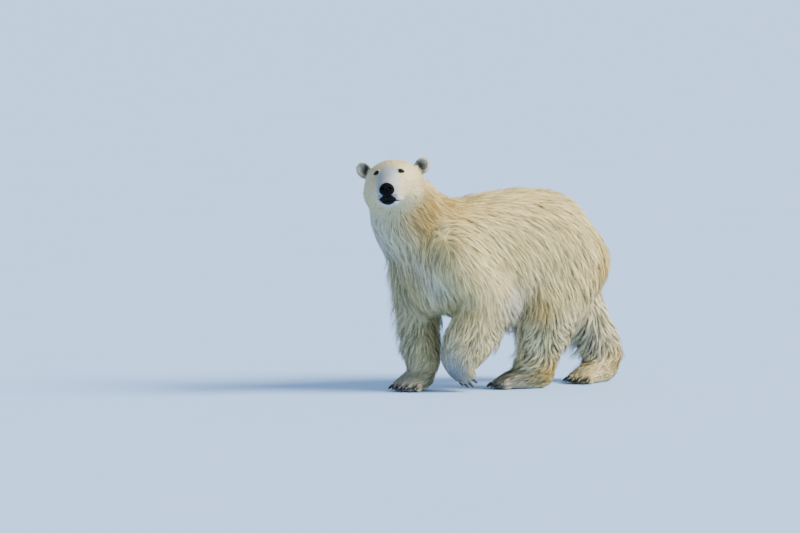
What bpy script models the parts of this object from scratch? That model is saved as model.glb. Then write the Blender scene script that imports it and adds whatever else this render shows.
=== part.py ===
"""A life-size polar bear, walking, with its head turned to its left and its left forepaw lifted.

Run it with: blender --background --python part.py, or from Blender's text editor.

The bear faces -Y, its left side is +X and +Z is up. Sizes are in metres and take in the coat.
The flesh is built as overlapping forms (lofted tubes and ellipsoids), which a voxel remesh joins
and a smoothing blends. Thin cuts then part it into the pieces that a person would name.
Eyes, nose, ears, tail and claws are solids of their own, let into the flesh with a small gap.
"""

import math

import bmesh
import bpy
from mathutils import Euler, Matrix, Vector
from mathutils.bvhtree import BVHTree

# ---------------------------------------------------------------- driving dimensions

GAP = 0.0003  # between two solids that meet
BODY_VOXEL = 0.013  # remesh of trunk, neck and legs
BODY_BLEND = 36  # rounds of smoothing after it
BODY_SWELL = 0.006  # makes up for what that smoothing takes off
FINE_VOXEL = 0.0085  # remesh that adds muzzle and toes
FINE_BLEND = 3
FLESH_TRIANGLES = 3700
SPINE_SIDES = 24
LIMB_SIDES = 16

HEAD_TURN = math.radians(53.5)  # to the bear's left
HEAD_LIFT = math.radians(3)
HEAD_ROLL = math.radians(-5)  # the left ear is the higher one
HEAD_CENTRE = Vector((0.076, -0.747, 1.228))

# The trunk from chest to rump: (along, top, bottom, half width).
TRUNK = (
    (-0.56, 0.97, 0.58, 0.160),
    (-0.47, 1.04, 0.50, 0.225),
    (-0.34, 1.10, 0.44, 0.270),
    (-0.20, 1.125, 0.40, 0.285),
    (-0.02, 1.148, 0.37, 0.295),
    (0.16, 1.158, 0.355, 0.302),
    (0.32, 1.138, 0.365, 0.302),
    (0.46, 1.058, 0.41, 0.285),
    (0.562, 0.972, 0.50, 0.238),
    (0.617, 0.896, 0.60, 0.172),
)

# The neck, from inside the trunk to the back of the skull: (centre, half width, half depth).
NECK = (
    (Vector((0.000, -0.320, 0.860)), 0.245, 0.245),
    (Vector((0.000, -0.460, 0.890)), 0.230, 0.250),
    (Vector((0.005, -0.590, 0.985)), 0.205, 0.235),
    (Vector((0.035, -0.660, 1.080)), 0.195, 0.225),
    (Vector((0.055, -0.700, 1.140)), 0.178, 0.180),
)

# The head from nape to nose, in its own frame: (along, top, bottom, half width).
HEAD = (
    (0.100, 0.105, -0.190, 0.158),
    (0.040, 0.118, -0.175, 0.164),
    (-0.020, 0.121, -0.158, 0.162),
    (-0.080, 0.108, -0.150, 0.147),
    (-0.130, 0.086, -0.146, 0.120),
    (-0.175, 0.062, -0.148, 0.096),
    (-0.215, 0.040, -0.151, 0.083),
    (-0.255, 0.020, -0.151, 0.075),
    (-0.290, 0.004, -0.143, 0.066),
)
SKULL_SECTIONS = 5  # of these, the ones blended with the neck

# The legs from top to bottom: (centre, half width, half depth fore and aft).
LEGS = {
    "fore_left": (
        (Vector((0.130, -0.300, 0.960)), 0.075, 0.150),
        (Vector((0.190, -0.370, 0.820)), 0.120, 0.185),
        (Vector((0.215, -0.290, 0.670)), 0.115, 0.170),
        (Vector((0.215, -0.200, 0.540)), 0.105, 0.145),
        (Vector((0.180, -0.245, 0.400)), 0.105, 0.155),
        (Vector((0.145, -0.300, 0.280)), 0.102, 0.160),
        (Vector((0.120, -0.325, 0.195)), 0.090, 0.128),
    ),
    "fore_right": (
        (Vector((-0.130, -0.340, 0.950)), 0.075, 0.150),
        (Vector((-0.190, -0.410, 0.820)), 0.120, 0.180),
        (Vector((-0.195, -0.430, 0.670)), 0.115, 0.165),
        (Vector((-0.185, -0.436, 0.530)), 0.110, 0.153),
        (Vector((-0.165, -0.446, 0.410)), 0.101, 0.130),
        (Vector((-0.140, -0.452, 0.280)), 0.095, 0.115),
        (Vector((-0.112, -0.442, 0.150)), 0.088, 0.099),
    ),
    "hind_left": (
        (Vector((0.130, 0.420, 0.860)), 0.130, 0.210),
        (Vector((0.185, 0.330, 0.660)), 0.135, 0.225),
        (Vector((0.205, 0.215, 0.490)), 0.122, 0.190),
        (Vector((0.180, 0.192, 0.370)), 0.112, 0.182),
        (Vector((0.150, 0.190, 0.270)), 0.097, 0.148),
        (Vector((0.125, 0.180, 0.190)), 0.088, 0.125),
        (Vector((0.105, 0.180, 0.110)), 0.084, 0.130),
    ),
    "hind_right": (
        (Vector((-0.130, 0.440, 0.800)), 0.130, 0.190),
        (Vector((-0.165, 0.496, 0.660)), 0.135, 0.230),
        (Vector((-0.165, 0.580, 0.480)), 0.125, 0.215),
        (Vector((-0.140, 0.675, 0.350)), 0.108, 0.138),
        (Vector((-0.120, 0.745, 0.220)), 0.094, 0.126),
        (Vector((-0.105, 0.770, 0.125)), 0.086, 0.117),
    ),
}

# A paw in its own frame, toes along -Y and sole at z = 0: sections of (centre, half width,
# half height), then the toes' row, spacing and half sizes.
FORE_PAW = {
    "palm": (
        (Vector((0, 0.050, 0.066)), 0.066, 0.060),
        (Vector((0, 0.000, 0.066)), 0.088, 0.066),
        (Vector((0, -0.060, 0.054)), 0.100, 0.056),
        (Vector((0, -0.110, 0.041)), 0.098, 0.043),
    ),
    "toe_row": -0.140,
    "toe_pitch": 0.040,
    "toe_size": Vector((0.0240, 0.042, 0.034)),
}
HIND_PAW = {
    "palm": (
        (Vector((0, 0.070, 0.066)), 0.066, 0.066),
        (Vector((0, 0.000, 0.070)), 0.076, 0.072),
        (Vector((0, -0.095, 0.057)), 0.088, 0.059),
        (Vector((0, -0.180, 0.041)), 0.090, 0.043),
    ),
    "toe_row": -0.215,
    "toe_pitch": 0.036,
    "toe_size": Vector((0.0220, 0.042, 0.032)),
}
TOES = (-2, -1, 0, 1, 2)
TOE_HEIGHT = 0.030  # of a toe's centre
TOE_ARC = 0.0085  # outer toes lie further back, by this times the square of their number
TOE_FAN = math.radians(7)  # between neighbouring toes

UP = Vector((0, 0, 1))
FORWARD = Vector((0, -1, 0))


# ---------------------------------------------------------------- scene helpers


def clear_scene():
    for obj in list(bpy.data.objects):
        bpy.data.objects.remove(obj, do_unlink=True)


def new_object(name, bm):
    """An object of this bmesh, linked to the scene."""
    mesh = bpy.data.meshes.new(name)
    bm.to_mesh(mesh)
    bm.free()
    obj = bpy.data.objects.new(name, mesh)
    bpy.context.scene.collection.objects.link(obj)
    return obj


def remove(*objects):
    for obj in objects:
        bpy.data.objects.remove(obj, do_unlink=True)


def applied(obj):
    """The object with its modifiers applied."""
    graph = bpy.context.evaluated_depsgraph_get()
    mesh = bpy.data.meshes.new_from_object(obj.evaluated_get(graph))
    obj.modifiers.clear()
    obj.data = mesh
    return obj


def copy_of(obj, name):
    twin = obj.copy()
    twin.data = obj.data.copy()
    twin.name = name
    bpy.context.scene.collection.objects.link(twin)
    return twin


def joined(name, objects):
    """One object with the meshes of all these, which it removes."""
    bm = bmesh.new()
    for obj in objects:
        bm.from_mesh(obj.data)
    remove(*objects)
    return new_object(name, bm)


def boolean(obj, cutter, operation):
    modifier = obj.modifiers.new("boolean", "BOOLEAN")
    modifier.operation = operation
    modifier.object = cutter
    modifier.solver = "EXACT"
    return applied(obj)


def grown(obj, clearance=GAP):
    """A copy whose surface lies outside obj's by the clearance."""
    twin = copy_of(obj, "grown")
    grow = twin.modifiers.new("clearance", "DISPLACE")
    grow.strength = clearance
    grow.mid_level = 0.0
    return applied(twin)


def cut_by(obj, *others):
    """Takes the others, each grown by the gap, out of obj."""
    for other in others:
        cutter = grown(other)
        boolean(obj, cutter, "DIFFERENCE")
        remove(cutter)
    return obj


def split(obj, cutter, name):
    """Parts obj at the cutter's surface and names the piece inside it."""
    inside = boolean(copy_of(obj, name), cutter, "INTERSECT")
    wide = grown(cutter)
    boolean(obj, wide, "DIFFERENCE")
    remove(cutter, wide)
    return inside


# ---------------------------------------------------------------- form makers


def smooth_rows(rows, steps=3):
    """Catmull-Rom rows between the given ones. A row is a tuple of numbers or vectors."""
    out = []
    last = len(rows) - 1
    for i in range(last):
        near = (rows[max(i - 1, 0)], rows[i], rows[i + 1], rows[min(i + 2, last)])
        for k in range(steps):
            t = k / steps
            out.append(tuple(catmull_rom(*values, t) for values in zip(*near)))
    out.append(tuple(rows[-1]))
    return out


def catmull_rom(p, q, r, s, t):
    """The value at t from q to r, with p before them and s after."""
    bend = 2 * p - 5 * q + 4 * r - s
    twist = 3 * q - 3 * r + s - p
    return q + 0.5 * ((r - p) * t + bend * t**2 + twist * t**3)


def rounded_end(row, way, cap, order):
    """Two smaller sections beyond an end section, for a domed end."""
    centre, half_side, half_up = row
    bulge = cap * min(half_side, half_up)
    out = []
    for step in order:
        lift = math.radians(32 * step)
        shrink = math.cos(lift)
        out.append((centre + way * bulge * math.sin(lift), half_side * shrink, half_up * shrink))
    return out


def loft(name, rows, up_hint, sides=LIMB_SIDES, cap=0.8):
    """A closed tube through rows of (centre, half side, half up), with domed ends.

    up_hint is roughly the way in which half up is measured."""
    rows = smooth_rows(rows)
    first_way = (rows[0][0] - rows[1][0]).normalized()
    last_way = (rows[-1][0] - rows[-2][0]).normalized()
    head = rounded_end(rows[0], first_way, cap, (2, 1))
    tail = rounded_end(rows[-1], last_way, cap, (1, 2))
    rows = head + rows + tail
    bm = bmesh.new()
    rings = []
    for i, (centre, half_side, half_up) in enumerate(rows):
        along = rows[min(i + 1, len(rows) - 1)][0] - rows[max(i - 1, 0)][0]
        side = up_hint.cross(along).normalized()
        up = along.cross(side).normalized()
        ring = []
        for k in range(sides):
            turn = 2 * math.pi * k / sides
            offset = side * half_side * math.cos(turn) + up * half_up * math.sin(turn)
            ring.append(bm.verts.new(centre + offset))
        rings.append(ring)
    skin_rings(bm, rings)
    return new_object(name, bm)


def skin_rings(bm, rings, tip=None):
    """Closes rings of points into a tube, with flat ends or with a tip beyond the last.

    Its faces are triangles, so that a grown copy keeps the same creases."""
    sides = len(rings[0])
    for low, high in zip(rings, rings[1:]):
        for k in range(sides):
            j = (k + 1) % sides
            bm.faces.new((low[k], low[j], high[j], high[k]))
    bm.faces.new(list(reversed(rings[0])))
    if tip is None:
        bm.faces.new(rings[-1])
    else:
        for k in range(sides):
            bm.faces.new((rings[-1][k], rings[-1][(k + 1) % sides], tip))
    bmesh.ops.triangulate(bm, faces=bm.faces)
    bmesh.ops.recalc_face_normals(bm, faces=bm.faces)


def ellipsoid(name, centre, radii, turn=(0, 0, 0), segments=18, rings=12):
    """An ellipsoid with these half axes, turned by Euler angles in degrees."""
    bm = bmesh.new()
    bmesh.ops.create_uvsphere(bm, u_segments=segments, v_segments=rings, radius=1.0)
    euler = Euler([math.radians(angle) for angle in turn])
    place = Matrix.LocRotScale(Vector(centre), euler, Vector(radii))
    bmesh.ops.transform(bm, matrix=place, verts=bm.verts)
    return new_object(name, bm)


def slab(name, point, normal, reach=1.2):
    """A big box that fills the side of a plane that its normal points to."""
    bm = bmesh.new()
    bmesh.ops.create_cube(bm, size=2 * reach)
    turn = Vector(normal).to_track_quat("Z", "Y").to_matrix().to_4x4()
    place = Matrix.Translation(point) @ turn @ Matrix.Translation((0, 0, reach))
    bmesh.ops.transform(bm, matrix=place, verts=bm.verts)
    return new_object(name, bm)


def upright_rows(rows):
    """(along, top, bottom, half width) as (centre, half width, half height)."""
    return [
        (Vector((0, along, (top + bottom) / 2)), half_width, (top - bottom) / 2)
        for along, top, bottom, half_width in rows
    ]


# ---------------------------------------------------------------- trunk, neck and head


def head_place():
    """Carries the head's own frame (nose along -Y) to its pose."""
    turn = Matrix.Rotation(HEAD_TURN, 4, "Z")
    tip = Matrix.Rotation(-HEAD_LIFT, 4, "X") @ Matrix.Rotation(HEAD_ROLL, 4, "Y")
    return Matrix.Translation(HEAD_CENTRE) @ turn @ tip


def placed(forms, place):
    for form in forms:
        form.data.transform(place)
    return forms


def trunk_forms():
    skull = loft("skull", upright_rows(HEAD[:SKULL_SECTIONS]), UP, SPINE_SIDES)
    cheeks = [
        ellipsoid("cheek", (0.087 * side, -0.030, -0.072), (0.090, 0.105, 0.106), (0, 0, 12 * side))
        for side in (-1, 1)
    ]
    return [
        loft("trunk", upright_rows(TRUNK), UP, SPINE_SIDES, 0.5),
        loft("neck", NECK, UP, SPINE_SIDES),
        ellipsoid("brisket", (-0.012, -0.495, 0.720), (0.208, 0.188, 0.28), (12, 0, 0)),
        *placed([skull, *cheeks], head_place()),
    ]


def face_forms():
    forms = [loft("face", upright_rows(HEAD[2:]), UP, SPINE_SIDES, 0.5)]
    for side in (-1, 1):
        brow = (0.056 * side, -0.122, 0.054)
        forms.append(ellipsoid("brow", brow, (0.032, 0.040, 0.024), (20, 0, 0)))
    return placed(forms, head_place())


# ---------------------------------------------------------------- legs and paws


def paw_place(at, toe_in, tip=0):
    """tip turns the toes down about the paw's heel end, toe_in then turns them about the
    vertical, both in degrees."""
    down = Matrix.Rotation(math.radians(tip), 4, "X")
    return Matrix.Translation(at) @ Matrix.Rotation(math.radians(toe_in), 4, "Z") @ down


PAWS = {
    "fore_left": (FORE_PAW, paw_place((0.098, -0.308, 0.218), 8, 108)),
    "fore_right": (FORE_PAW, paw_place((-0.105, -0.475, 0), 22)),
    "hind_left": (HIND_PAW, paw_place((0.092, 0.172, 0), -14)),
    "hind_right": (HIND_PAW, paw_place((-0.092, 0.738, 0), 20)),
}


def toe_place(paw, i):
    """Where toe i lies, in the paw's own frame."""
    at = Vector((paw["toe_pitch"] * i, paw["toe_row"] + TOE_ARC * i * i, TOE_HEIGHT))
    return Matrix.Translation(at) @ Matrix.Rotation(TOE_FAN * i, 4, "Z")


def leg_forms():
    forms = [loft(name, rows, FORWARD) for name, rows in LEGS.items()]
    for paw, place in PAWS.values():
        forms += placed([loft("palm", paw["palm"], UP)], place)
    return forms


def toe_forms():
    forms = []
    for paw, place in PAWS.values():
        for i in TOES:
            toe = ellipsoid("toe", (0, 0, 0), paw["toe_size"], segments=12, rings=8)
            forms += placed([toe], place @ toe_place(paw, i))
    return forms


def flesh():
    """Head, trunk and legs as one smooth skin."""
    body = joined("body", trunk_forms() + leg_forms())
    remesh(body, BODY_VOXEL, BODY_BLEND)
    swell = body.modifiers.new("swell", "DISPLACE")
    swell.strength = BODY_SWELL
    swell.mid_level = 0.0
    applied(body)
    whole = joined("flesh", [body] + face_forms() + toe_forms())
    remesh(whole, FINE_VOXEL, FINE_BLEND)
    return applied(whole)


def remesh(obj, voxel, rounds):
    """Adds the modifiers that join obj's shells and blend them."""
    union = obj.modifiers.new("union", "REMESH")
    union.mode = "VOXEL"
    union.voxel_size = voxel
    blend = obj.modifiers.new("blend", "SMOOTH")
    blend.factor = 0.5
    blend.iterations = rounds


# ---------------------------------------------------------------- eyes, nose, ears, tail, claws

EYE = {"x": 0.0700, "z": 0.044, "radius": 0.0135, "sunk": 0.006}
EAR_CENTRE = Vector((0.168, 0.030, 0.070))  # the left one's, in the head's own frame
EAR_SIZE = Vector((0.048, 0.024, 0.054))
EAR_MOUTH = Vector((0.031, 0.024, 0.041))
EAR_TILT = math.radians(38)  # its top leans outwards
EAR_TURN = math.radians(12)  # its mouth looks outwards
NOSE_CENTRE = Vector((0, -0.315, -0.052))
NOSE_SIZE = Vector((0.043, 0.030, 0.037))
TAIL_ROOT = Vector((0, 0.624, 0.885))
TAIL_TIP = Vector((0, 0.688, 0.738))
CLAW_LENGTH = 0.048
CLAW_RADIUS = 0.0078
CLAW_SIDES = 6


def mirrored(side):
    return Matrix.Diagonal((side, 1, 1, 1))


def surface_depth(obj, place, x, z):
    """Where obj's surface lies along the head's own Y axis at this x and z."""
    tree = BVHTree.FromObject(obj, bpy.context.evaluated_depsgraph_get())
    start = place @ Vector((x, -0.6, z))
    hit = tree.ray_cast(start, place.to_3x3() @ Vector((0, 1, 0)))[0]
    return (place.inverted() @ hit).y


def make_eye(name, side, head):
    place = head_place()
    front = surface_depth(head, place, EYE["x"] * side, EYE["z"])
    centre = (EYE["x"] * side, front + EYE["sunk"], EYE["z"])
    ball = ellipsoid(name, centre, [EYE["radius"]] * 3, segments=10, rings=7)
    return placed([ball], place)[0]


def make_ear(name, side):
    """A round shell, hollowed at the front."""
    ear = ellipsoid(name, (0, 0, 0), EAR_SIZE, segments=12, rings=9)
    mouth = ellipsoid("mouth", (-0.006, -0.020, 0.002), EAR_MOUTH, segments=10, rings=7)
    boolean(ear, mouth, "DIFFERENCE")
    remove(mouth)
    pose = Matrix.Rotation(EAR_TILT, 4, "Y") @ Matrix.Rotation(EAR_TURN, 4, "Z")
    place = head_place() @ mirrored(side) @ Matrix.Translation(EAR_CENTRE) @ pose
    ear.data.transform(place)
    if side < 0:
        ear.data.flip_normals()
    return ear


def make_nose(name):
    """The leather pad, with its two nostrils."""
    nose = ellipsoid(name, NOSE_CENTRE, NOSE_SIZE, (-14, 0, 0), segments=16, rings=10)
    for side in (-1, 1):
        at = NOSE_CENTRE + Vector((0.019 * side, -0.028, -0.004))
        nostril = ellipsoid("nostril", at, (0.009, 0.012, 0.008), (0, 25 * side, 0), 8, 6)
        boolean(nose, nostril, "DIFFERENCE")
        remove(nostril)
    return placed([nose], head_place())[0]


def make_tail(name):
    middle = TAIL_ROOT.lerp(TAIL_TIP, 0.5) + Vector((0, 0.018, 0.01))
    rows = ((TAIL_ROOT, 0.046, 0.040), (middle, 0.042, 0.034), (TAIL_TIP, 0.020, 0.016))
    return loft(name, rows, UP, 10)


def make_claw(name, place):
    """A curved cone along -Y that bends down to its tip."""
    path = [(t, Vector((0, -CLAW_LENGTH * t, 0.004 - 0.024 * t**1.7))) for t in (0, 0.35, 0.7)]
    bm = bmesh.new()
    rings = []
    for t, centre in path:
        radius = CLAW_RADIUS * (1 - 0.75 * t)
        ring = []
        for k in range(CLAW_SIDES):
            turn = 2 * math.pi * k / CLAW_SIDES
            offset = Vector((radius * math.cos(turn), 0, 1.35 * radius * math.sin(turn)))
            ring.append(bm.verts.new(centre + offset))
        rings.append(ring)
    skin_rings(bm, rings, bm.verts.new((0, -CLAW_LENGTH, -0.020)))
    claw = new_object(name, bm)
    claw.data.transform(place @ Matrix.Translation((0, -0.022, 0)))
    return claw


# ---------------------------------------------------------------- thinning and parting

NECK_FRONT = (Vector((0.035, -0.690, 1.120)), Vector((0.12, -0.60, 0.79)))  # point, normal
NECK_BACK = (Vector((0, -0.330, 1.100)), Vector((0, -0.673, 0.740)))
JOINT_CUTS = {
    "fore_left": ((Vector((0.215, -0.180, 0.480)), Vector((0.2, -0.10, 1))),
                  (Vector((0.125, -0.320, 0.225)), Vector((0.1, -0.30, 1)))),
    "fore_right": ((Vector((-0.180, -0.420, 0.500)), Vector((0, 0.10, 1))),
                   (Vector((-0.115, -0.450, 0.135)), Vector((0, 0.15, 1)))),
    "hind_left": ((Vector((0.205, 0.200, 0.450)), Vector((0, 0.20, 1))),
                  (Vector((0.105, 0.190, 0.130)), Vector((0, 0.15, 1)))),
    "hind_right": ((Vector((-0.160, 0.580, 0.430)), Vector((0, -0.40, 1))),
                   (Vector((-0.105, 0.755, 0.140)), Vector((0, -0.20, 1)))),
}
LEG_PARTS = {"fore": ("upper_arm", "forearm", "paw"), "hind": ("thigh", "shank", "foot")}


def thinned(obj):
    """Fewer triangles, more of them kept on face and toes."""
    group = obj.vertex_groups.new(name="detail")
    face = head_place().inverted()
    paws = [place.inverted() for _, place in PAWS.values()]
    for vertex in obj.data.vertices:
        at = face @ vertex.co
        weight = 0.0
        if at.y < 0.05 and at.length < 0.40:
            weight = 0.5 if at.y < -0.08 else 0.2
        for paw in paws:
            toe = paw @ vertex.co
            if abs(toe.x) < 0.15 and -0.30 < toe.y < -0.06 and abs(toe.z) < 0.09:
                weight = max(weight, 0.35)
        group.add([vertex.index], weight, "REPLACE")
    thin = obj.modifiers.new("thin", "DECIMATE")
    thin.ratio = FLESH_TRIANGLES / sum(len(face.vertices) - 2 for face in obj.data.polygons)
    thin.vertex_group = "detail"
    thin.invert_vertex_group = True
    thin.vertex_group_factor = 0.5
    thin.use_collapse_triangulate = True
    applied(obj)
    obj.vertex_groups.clear()
    return obj


CUT_MARGIN = 0.045  # from a leg's form to the cut around it
CUT_LEAN = 0.070  # how far out the cut shifts, where the leg leaves the trunk
CUT_LOW = 0.050  # how much deeper the cut is under the belly, where the legs slant
CUT_FOOT = {  # half width and half depth of the cut around a paw, by the paw's middle
    "fore_left": (0.125, 0.20),
    "fore_right": (0.16, 0.21),
    "hind_left": (0.17, 0.27),
    "hind_right": (0.17, 0.27),
}
PAW_MIDDLE = Vector((0, -0.075, 0.030))
CUT_FOOT_TOP = 0.09
CUT_SIDES = 14


def leg_cutter(name, side):
    """A tube of level sections around the leg, which shift outwards inside the trunk."""
    rows = []
    for centre, half_width, half_depth in LEGS[name]:
        inside_trunk = min(max((centre.z - 0.42) / 0.15, 0), 1)
        outward = Vector((side * CUT_LEAN * inside_trunk, 0, 0))
        under_belly = min(max((0.50 - centre.z) / 0.20, 0), 1)
        depth = half_depth + CUT_MARGIN + CUT_LOW * under_belly
        rows.append((centre + outward, half_width + CUT_MARGIN, depth))
    middle = PAWS[name][1] @ PAW_MIDDLE
    for height in (CUT_FOOT_TOP, -0.10):
        rows.append((Vector((middle.x, middle.y, height)), *CUT_FOOT[name]))
    bm = bmesh.new()
    rings = []
    for centre, half_width, half_depth in rows:
        ring = []
        for k in range(CUT_SIDES):
            turn = 2 * math.pi * k / CUT_SIDES
            offset = Vector((half_width * math.cos(turn), half_depth * math.sin(turn), 0))
            ring.append(bm.verts.new(centre + offset))
        rings.append(ring)
    skin_rings(bm, rings)
    return new_object("leg_cutter", bm)


def part_flesh(whole):
    """Parts the flesh into head, neck, trunk and three pieces for each leg."""
    floor = slab("floor", (0, 0, 0), (0, 0, -1))
    boolean(whole, floor, "DIFFERENCE")
    remove(floor)
    pieces = {}
    pieces["head"] = split(whole, slab("cutter", *NECK_FRONT), "head")
    pieces["neck"] = split(whole, slab("cutter", *NECK_BACK), "neck")
    for leg, (upper_cut, lower_cut) in JOINT_CUTS.items():
        limb = split(whole, leg_cutter(leg, 1 if leg.endswith("left") else -1), "limb")
        upper, lower, end = LEG_PARTS[leg[:4]]
        pieces[f"{leg}_{upper}"] = split(limb, slab("cutter", *upper_cut), f"{leg}_{upper}")
        pieces[f"{leg}_{lower}"] = split(limb, slab("cutter", *lower_cut), f"{leg}_{lower}")
        limb.name = f"{leg}_{end}"
        pieces[limb.name] = limb
    whole.name = "trunk"
    pieces["trunk"] = whole
    return pieces


# ---------------------------------------------------------------- materials and standing

MATERIALS = {  # name: (colour, roughness, coat)
    "coat": ((0.70, 0.62, 0.45, 1.0), 0.85, 0.0),
    "nose_skin": ((0.012, 0.011, 0.012, 1.0), 0.45, 0.1),
    "eye": ((0.012, 0.008, 0.006, 1.0), 0.06, 1.0),
    "claw": ((0.030, 0.026, 0.024, 1.0), 0.38, 0.2),
}


def make_material(name):
    colour, roughness, coat = MATERIALS[name]
    material = bpy.data.materials.new(name)
    material.use_nodes = True
    shader = material.node_tree.nodes["Principled BSDF"]
    shader.inputs["Base Color"].default_value = colour
    shader.inputs["Roughness"].default_value = roughness
    shader.inputs["Metallic"].default_value = 0.0
    shader.inputs["Coat Weight"].default_value = coat
    material.diffuse_color = colour
    return material


def material_of(name):
    for word, slot in (("eye", "eye"), ("claw", "claw"), ("nose", "nose_skin")):
        if name.startswith(word):
            return slot
    return "coat"


def dress(objects):
    materials = {name: make_material(name) for name in MATERIALS}
    for obj in objects:
        obj.data.materials.clear()
        obj.data.materials.append(materials[material_of(obj.name)])
        obj.data.shade_smooth()
        obj.data.set_sharp_from_angle(angle=math.radians(50))


def stand_at_origin(objects):
    """Moves the bear so that the middle of its bounding box stands on the origin."""
    points = [vertex.co for obj in objects for vertex in obj.data.vertices]
    low = Vector([min(point[axis] for point in points) for axis in range(3)])
    high = Vector([max(point[axis] for point in points) for axis in range(3)])
    shift = Vector((-(low.x + high.x) / 2, -(low.y + high.y) / 2, 0))
    for obj in objects:
        obj.data.transform(Matrix.Translation(shift))
    print("moved by", [round(value, 4) for value in shift])


def main():
    clear_scene()
    pieces = part_flesh(thinned(flesh()))
    head = pieces["head"]
    for side, word in ((1, "left"), (-1, "right")):
        eye = make_eye(f"eye_{word}", side, head)
        cut_by(head, eye)
        cut_by(make_ear(f"ear_{word}", side), head)
    cut_by(make_nose("nose"), head)
    cut_by(make_tail("tail"), pieces["trunk"])
    for leg, (paw, place) in PAWS.items():
        end = pieces[f"{leg}_{LEG_PARTS[leg[:4]][2]}"]
        for i in TOES:
            cut_by(make_claw(f"claw_{leg}_{i + 3}", place @ toe_place(paw, i)), end)
    bear = list(bpy.context.scene.objects)
    dress(bear)
    stand_at_origin(bear)


if __name__ == "__main__":
    main()
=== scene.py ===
# %% [markdown]
# # A life-size polar bear in its coat
#
# The solids of the imported bear are its outline, out to the tips of the fur. Here they become
# a smooth skin under a coat of many thin tufts, with lids, lips and a pebbled nose, and finishes
# for the eyes and claws. Skin, eyes and claws take their places from the imported bear, so that
# they need no fitting. Only the markings and the fringes are placed one by one, in its axes.

# %% Load the imported bear
import math

import bmesh
import bpy
import numpy as np
from mathutils import Matrix, Vector
from mathutils.bvhtree import BVHTree
from mathutils.kdtree import KDTree


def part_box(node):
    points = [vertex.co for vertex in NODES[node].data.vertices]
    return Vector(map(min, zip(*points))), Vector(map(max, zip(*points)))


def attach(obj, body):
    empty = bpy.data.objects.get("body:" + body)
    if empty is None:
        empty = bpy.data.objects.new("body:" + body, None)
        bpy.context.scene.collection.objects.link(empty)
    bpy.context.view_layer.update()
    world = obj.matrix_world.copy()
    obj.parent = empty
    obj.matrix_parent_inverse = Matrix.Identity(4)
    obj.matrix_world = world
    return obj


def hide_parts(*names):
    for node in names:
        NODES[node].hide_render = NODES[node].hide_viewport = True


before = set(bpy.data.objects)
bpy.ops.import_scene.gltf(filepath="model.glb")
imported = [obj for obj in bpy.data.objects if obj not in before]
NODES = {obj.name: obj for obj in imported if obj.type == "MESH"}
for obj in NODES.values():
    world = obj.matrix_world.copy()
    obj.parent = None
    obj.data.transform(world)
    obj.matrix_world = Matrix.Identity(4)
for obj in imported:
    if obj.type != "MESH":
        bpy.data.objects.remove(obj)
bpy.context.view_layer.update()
HARD_PARTS = ("eye_", "claw_", "nose")
FLESH = sorted(name for name in NODES if not name.startswith(HARD_PARTS))

# %% [markdown]
# ## Places on the bear
#
# The bear walks along -Y and turns its head to its left, so a face is easiest to describe in
# the head's own axes: x to the bear's left, the nose along -y, z up. Those axes are fixed here
# by the two eyes and the turn of the head. A paw's direction runs from its middle to its claws.

# %% The head's own axes, and each paw's direction
HEAD_TURN = math.radians(53.5)
HEAD_TILT = math.radians(-3.0)
HEAD_ROLL = math.radians(-5.0)
EYE_PLACE = Vector((0.0, -0.170, 0.044))  # midway between the eyes, in the head's own axes
EYE_SPREAD = 0.070  # from the middle line to an eye
EYE_RADIUS = 0.0135
NOSE_PLACE = Vector((0.0, -0.315, -0.052))
LEGS = ("fore_left", "fore_right", "hind_left", "hind_right")


def middle(name):
    """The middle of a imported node's box."""
    low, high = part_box(name)
    return (low + high) / 2


def paw_node(leg):
    """The name of the node at the end of a leg."""
    return leg + ("_paw" if leg.startswith("fore") else "_foot")


turn = Matrix.Rotation(HEAD_TURN, 3, "Z")
tilt = Matrix.Rotation(HEAD_TILT, 3, "X") @ Matrix.Rotation(HEAD_ROLL, 3, "Y")
HEAD_AXES = turn @ tilt
HEAD_AT = (middle("eye_left") + middle("eye_right")) / 2 - HEAD_AXES @ EYE_PLACE
PAW_WAY = {}
for leg in LEGS:
    claws = sum((middle(f"claw_{leg}_{i}") for i in range(1, 6)), Vector()) / 5
    PAW_WAY[leg] = (claws - middle(paw_node(leg))).normalized()
print("head at", [round(x, 3) for x in HEAD_AT])


def in_head(points):
    """Points of the bear, one in each row, in the head's own axes."""
    return (points - np.array(HEAD_AT)) @ np.array(HEAD_AXES)

# %% [markdown]
# ## Small helpers for arrays
#
# A coat has hundreds of thousands of tufts, so they are worked out as arrays, not one by one.
# A soft step turns a distance into a share from 0 to 1, which serves as a mask everywhere here.

# %% Helpers
def soft_step(low, high, values):
    """0 below low, 1 above high, and smooth between them. It falls where high is below low."""
    share = np.clip((values - low) / (high - low), 0, 1)
    return share * share * (3 - 2 * share)


def unit(vectors):
    """Each row at length 1."""
    return vectors / np.maximum(np.linalg.norm(vectors, axis=1, keepdims=True), 1e-9)


def mix(a, b, share):
    """From a to b by a share."""
    return a * (1 - share) + b * share


def hill(distance, reach):
    """1 at no distance, and falling off over the reach."""
    return np.exp(-(distance / reach) ** 2)


def own_side(point, x):
    """A place of the head's left half, once for each x, on that x's own side."""
    rows = np.tile(np.array(point, float), (len(x), 1))
    rows[:, 0] *= np.sign(x)
    return rows


def tree_of(points):
    """A search tree that finds the nearest of the points."""
    tree = KDTree(len(points))
    for number, point in enumerate(points):
        tree.insert(point, number)
    tree.balance()
    return tree


def mesh_points(mesh):
    """The places of a mesh's corners, one in each row."""
    points = np.empty(len(mesh.vertices) * 3, np.float32)
    mesh.vertices.foreach_get("co", points)
    return points.reshape(-1, 3).astype(float)


def mesh_normals(mesh):
    """The way out of the surface at each corner of a mesh."""
    normals = np.empty(len(mesh.vertices) * 3, np.float32)
    mesh.vertex_normals.foreach_get("vector", normals)
    return normals.reshape(-1, 3).astype(float)


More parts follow.
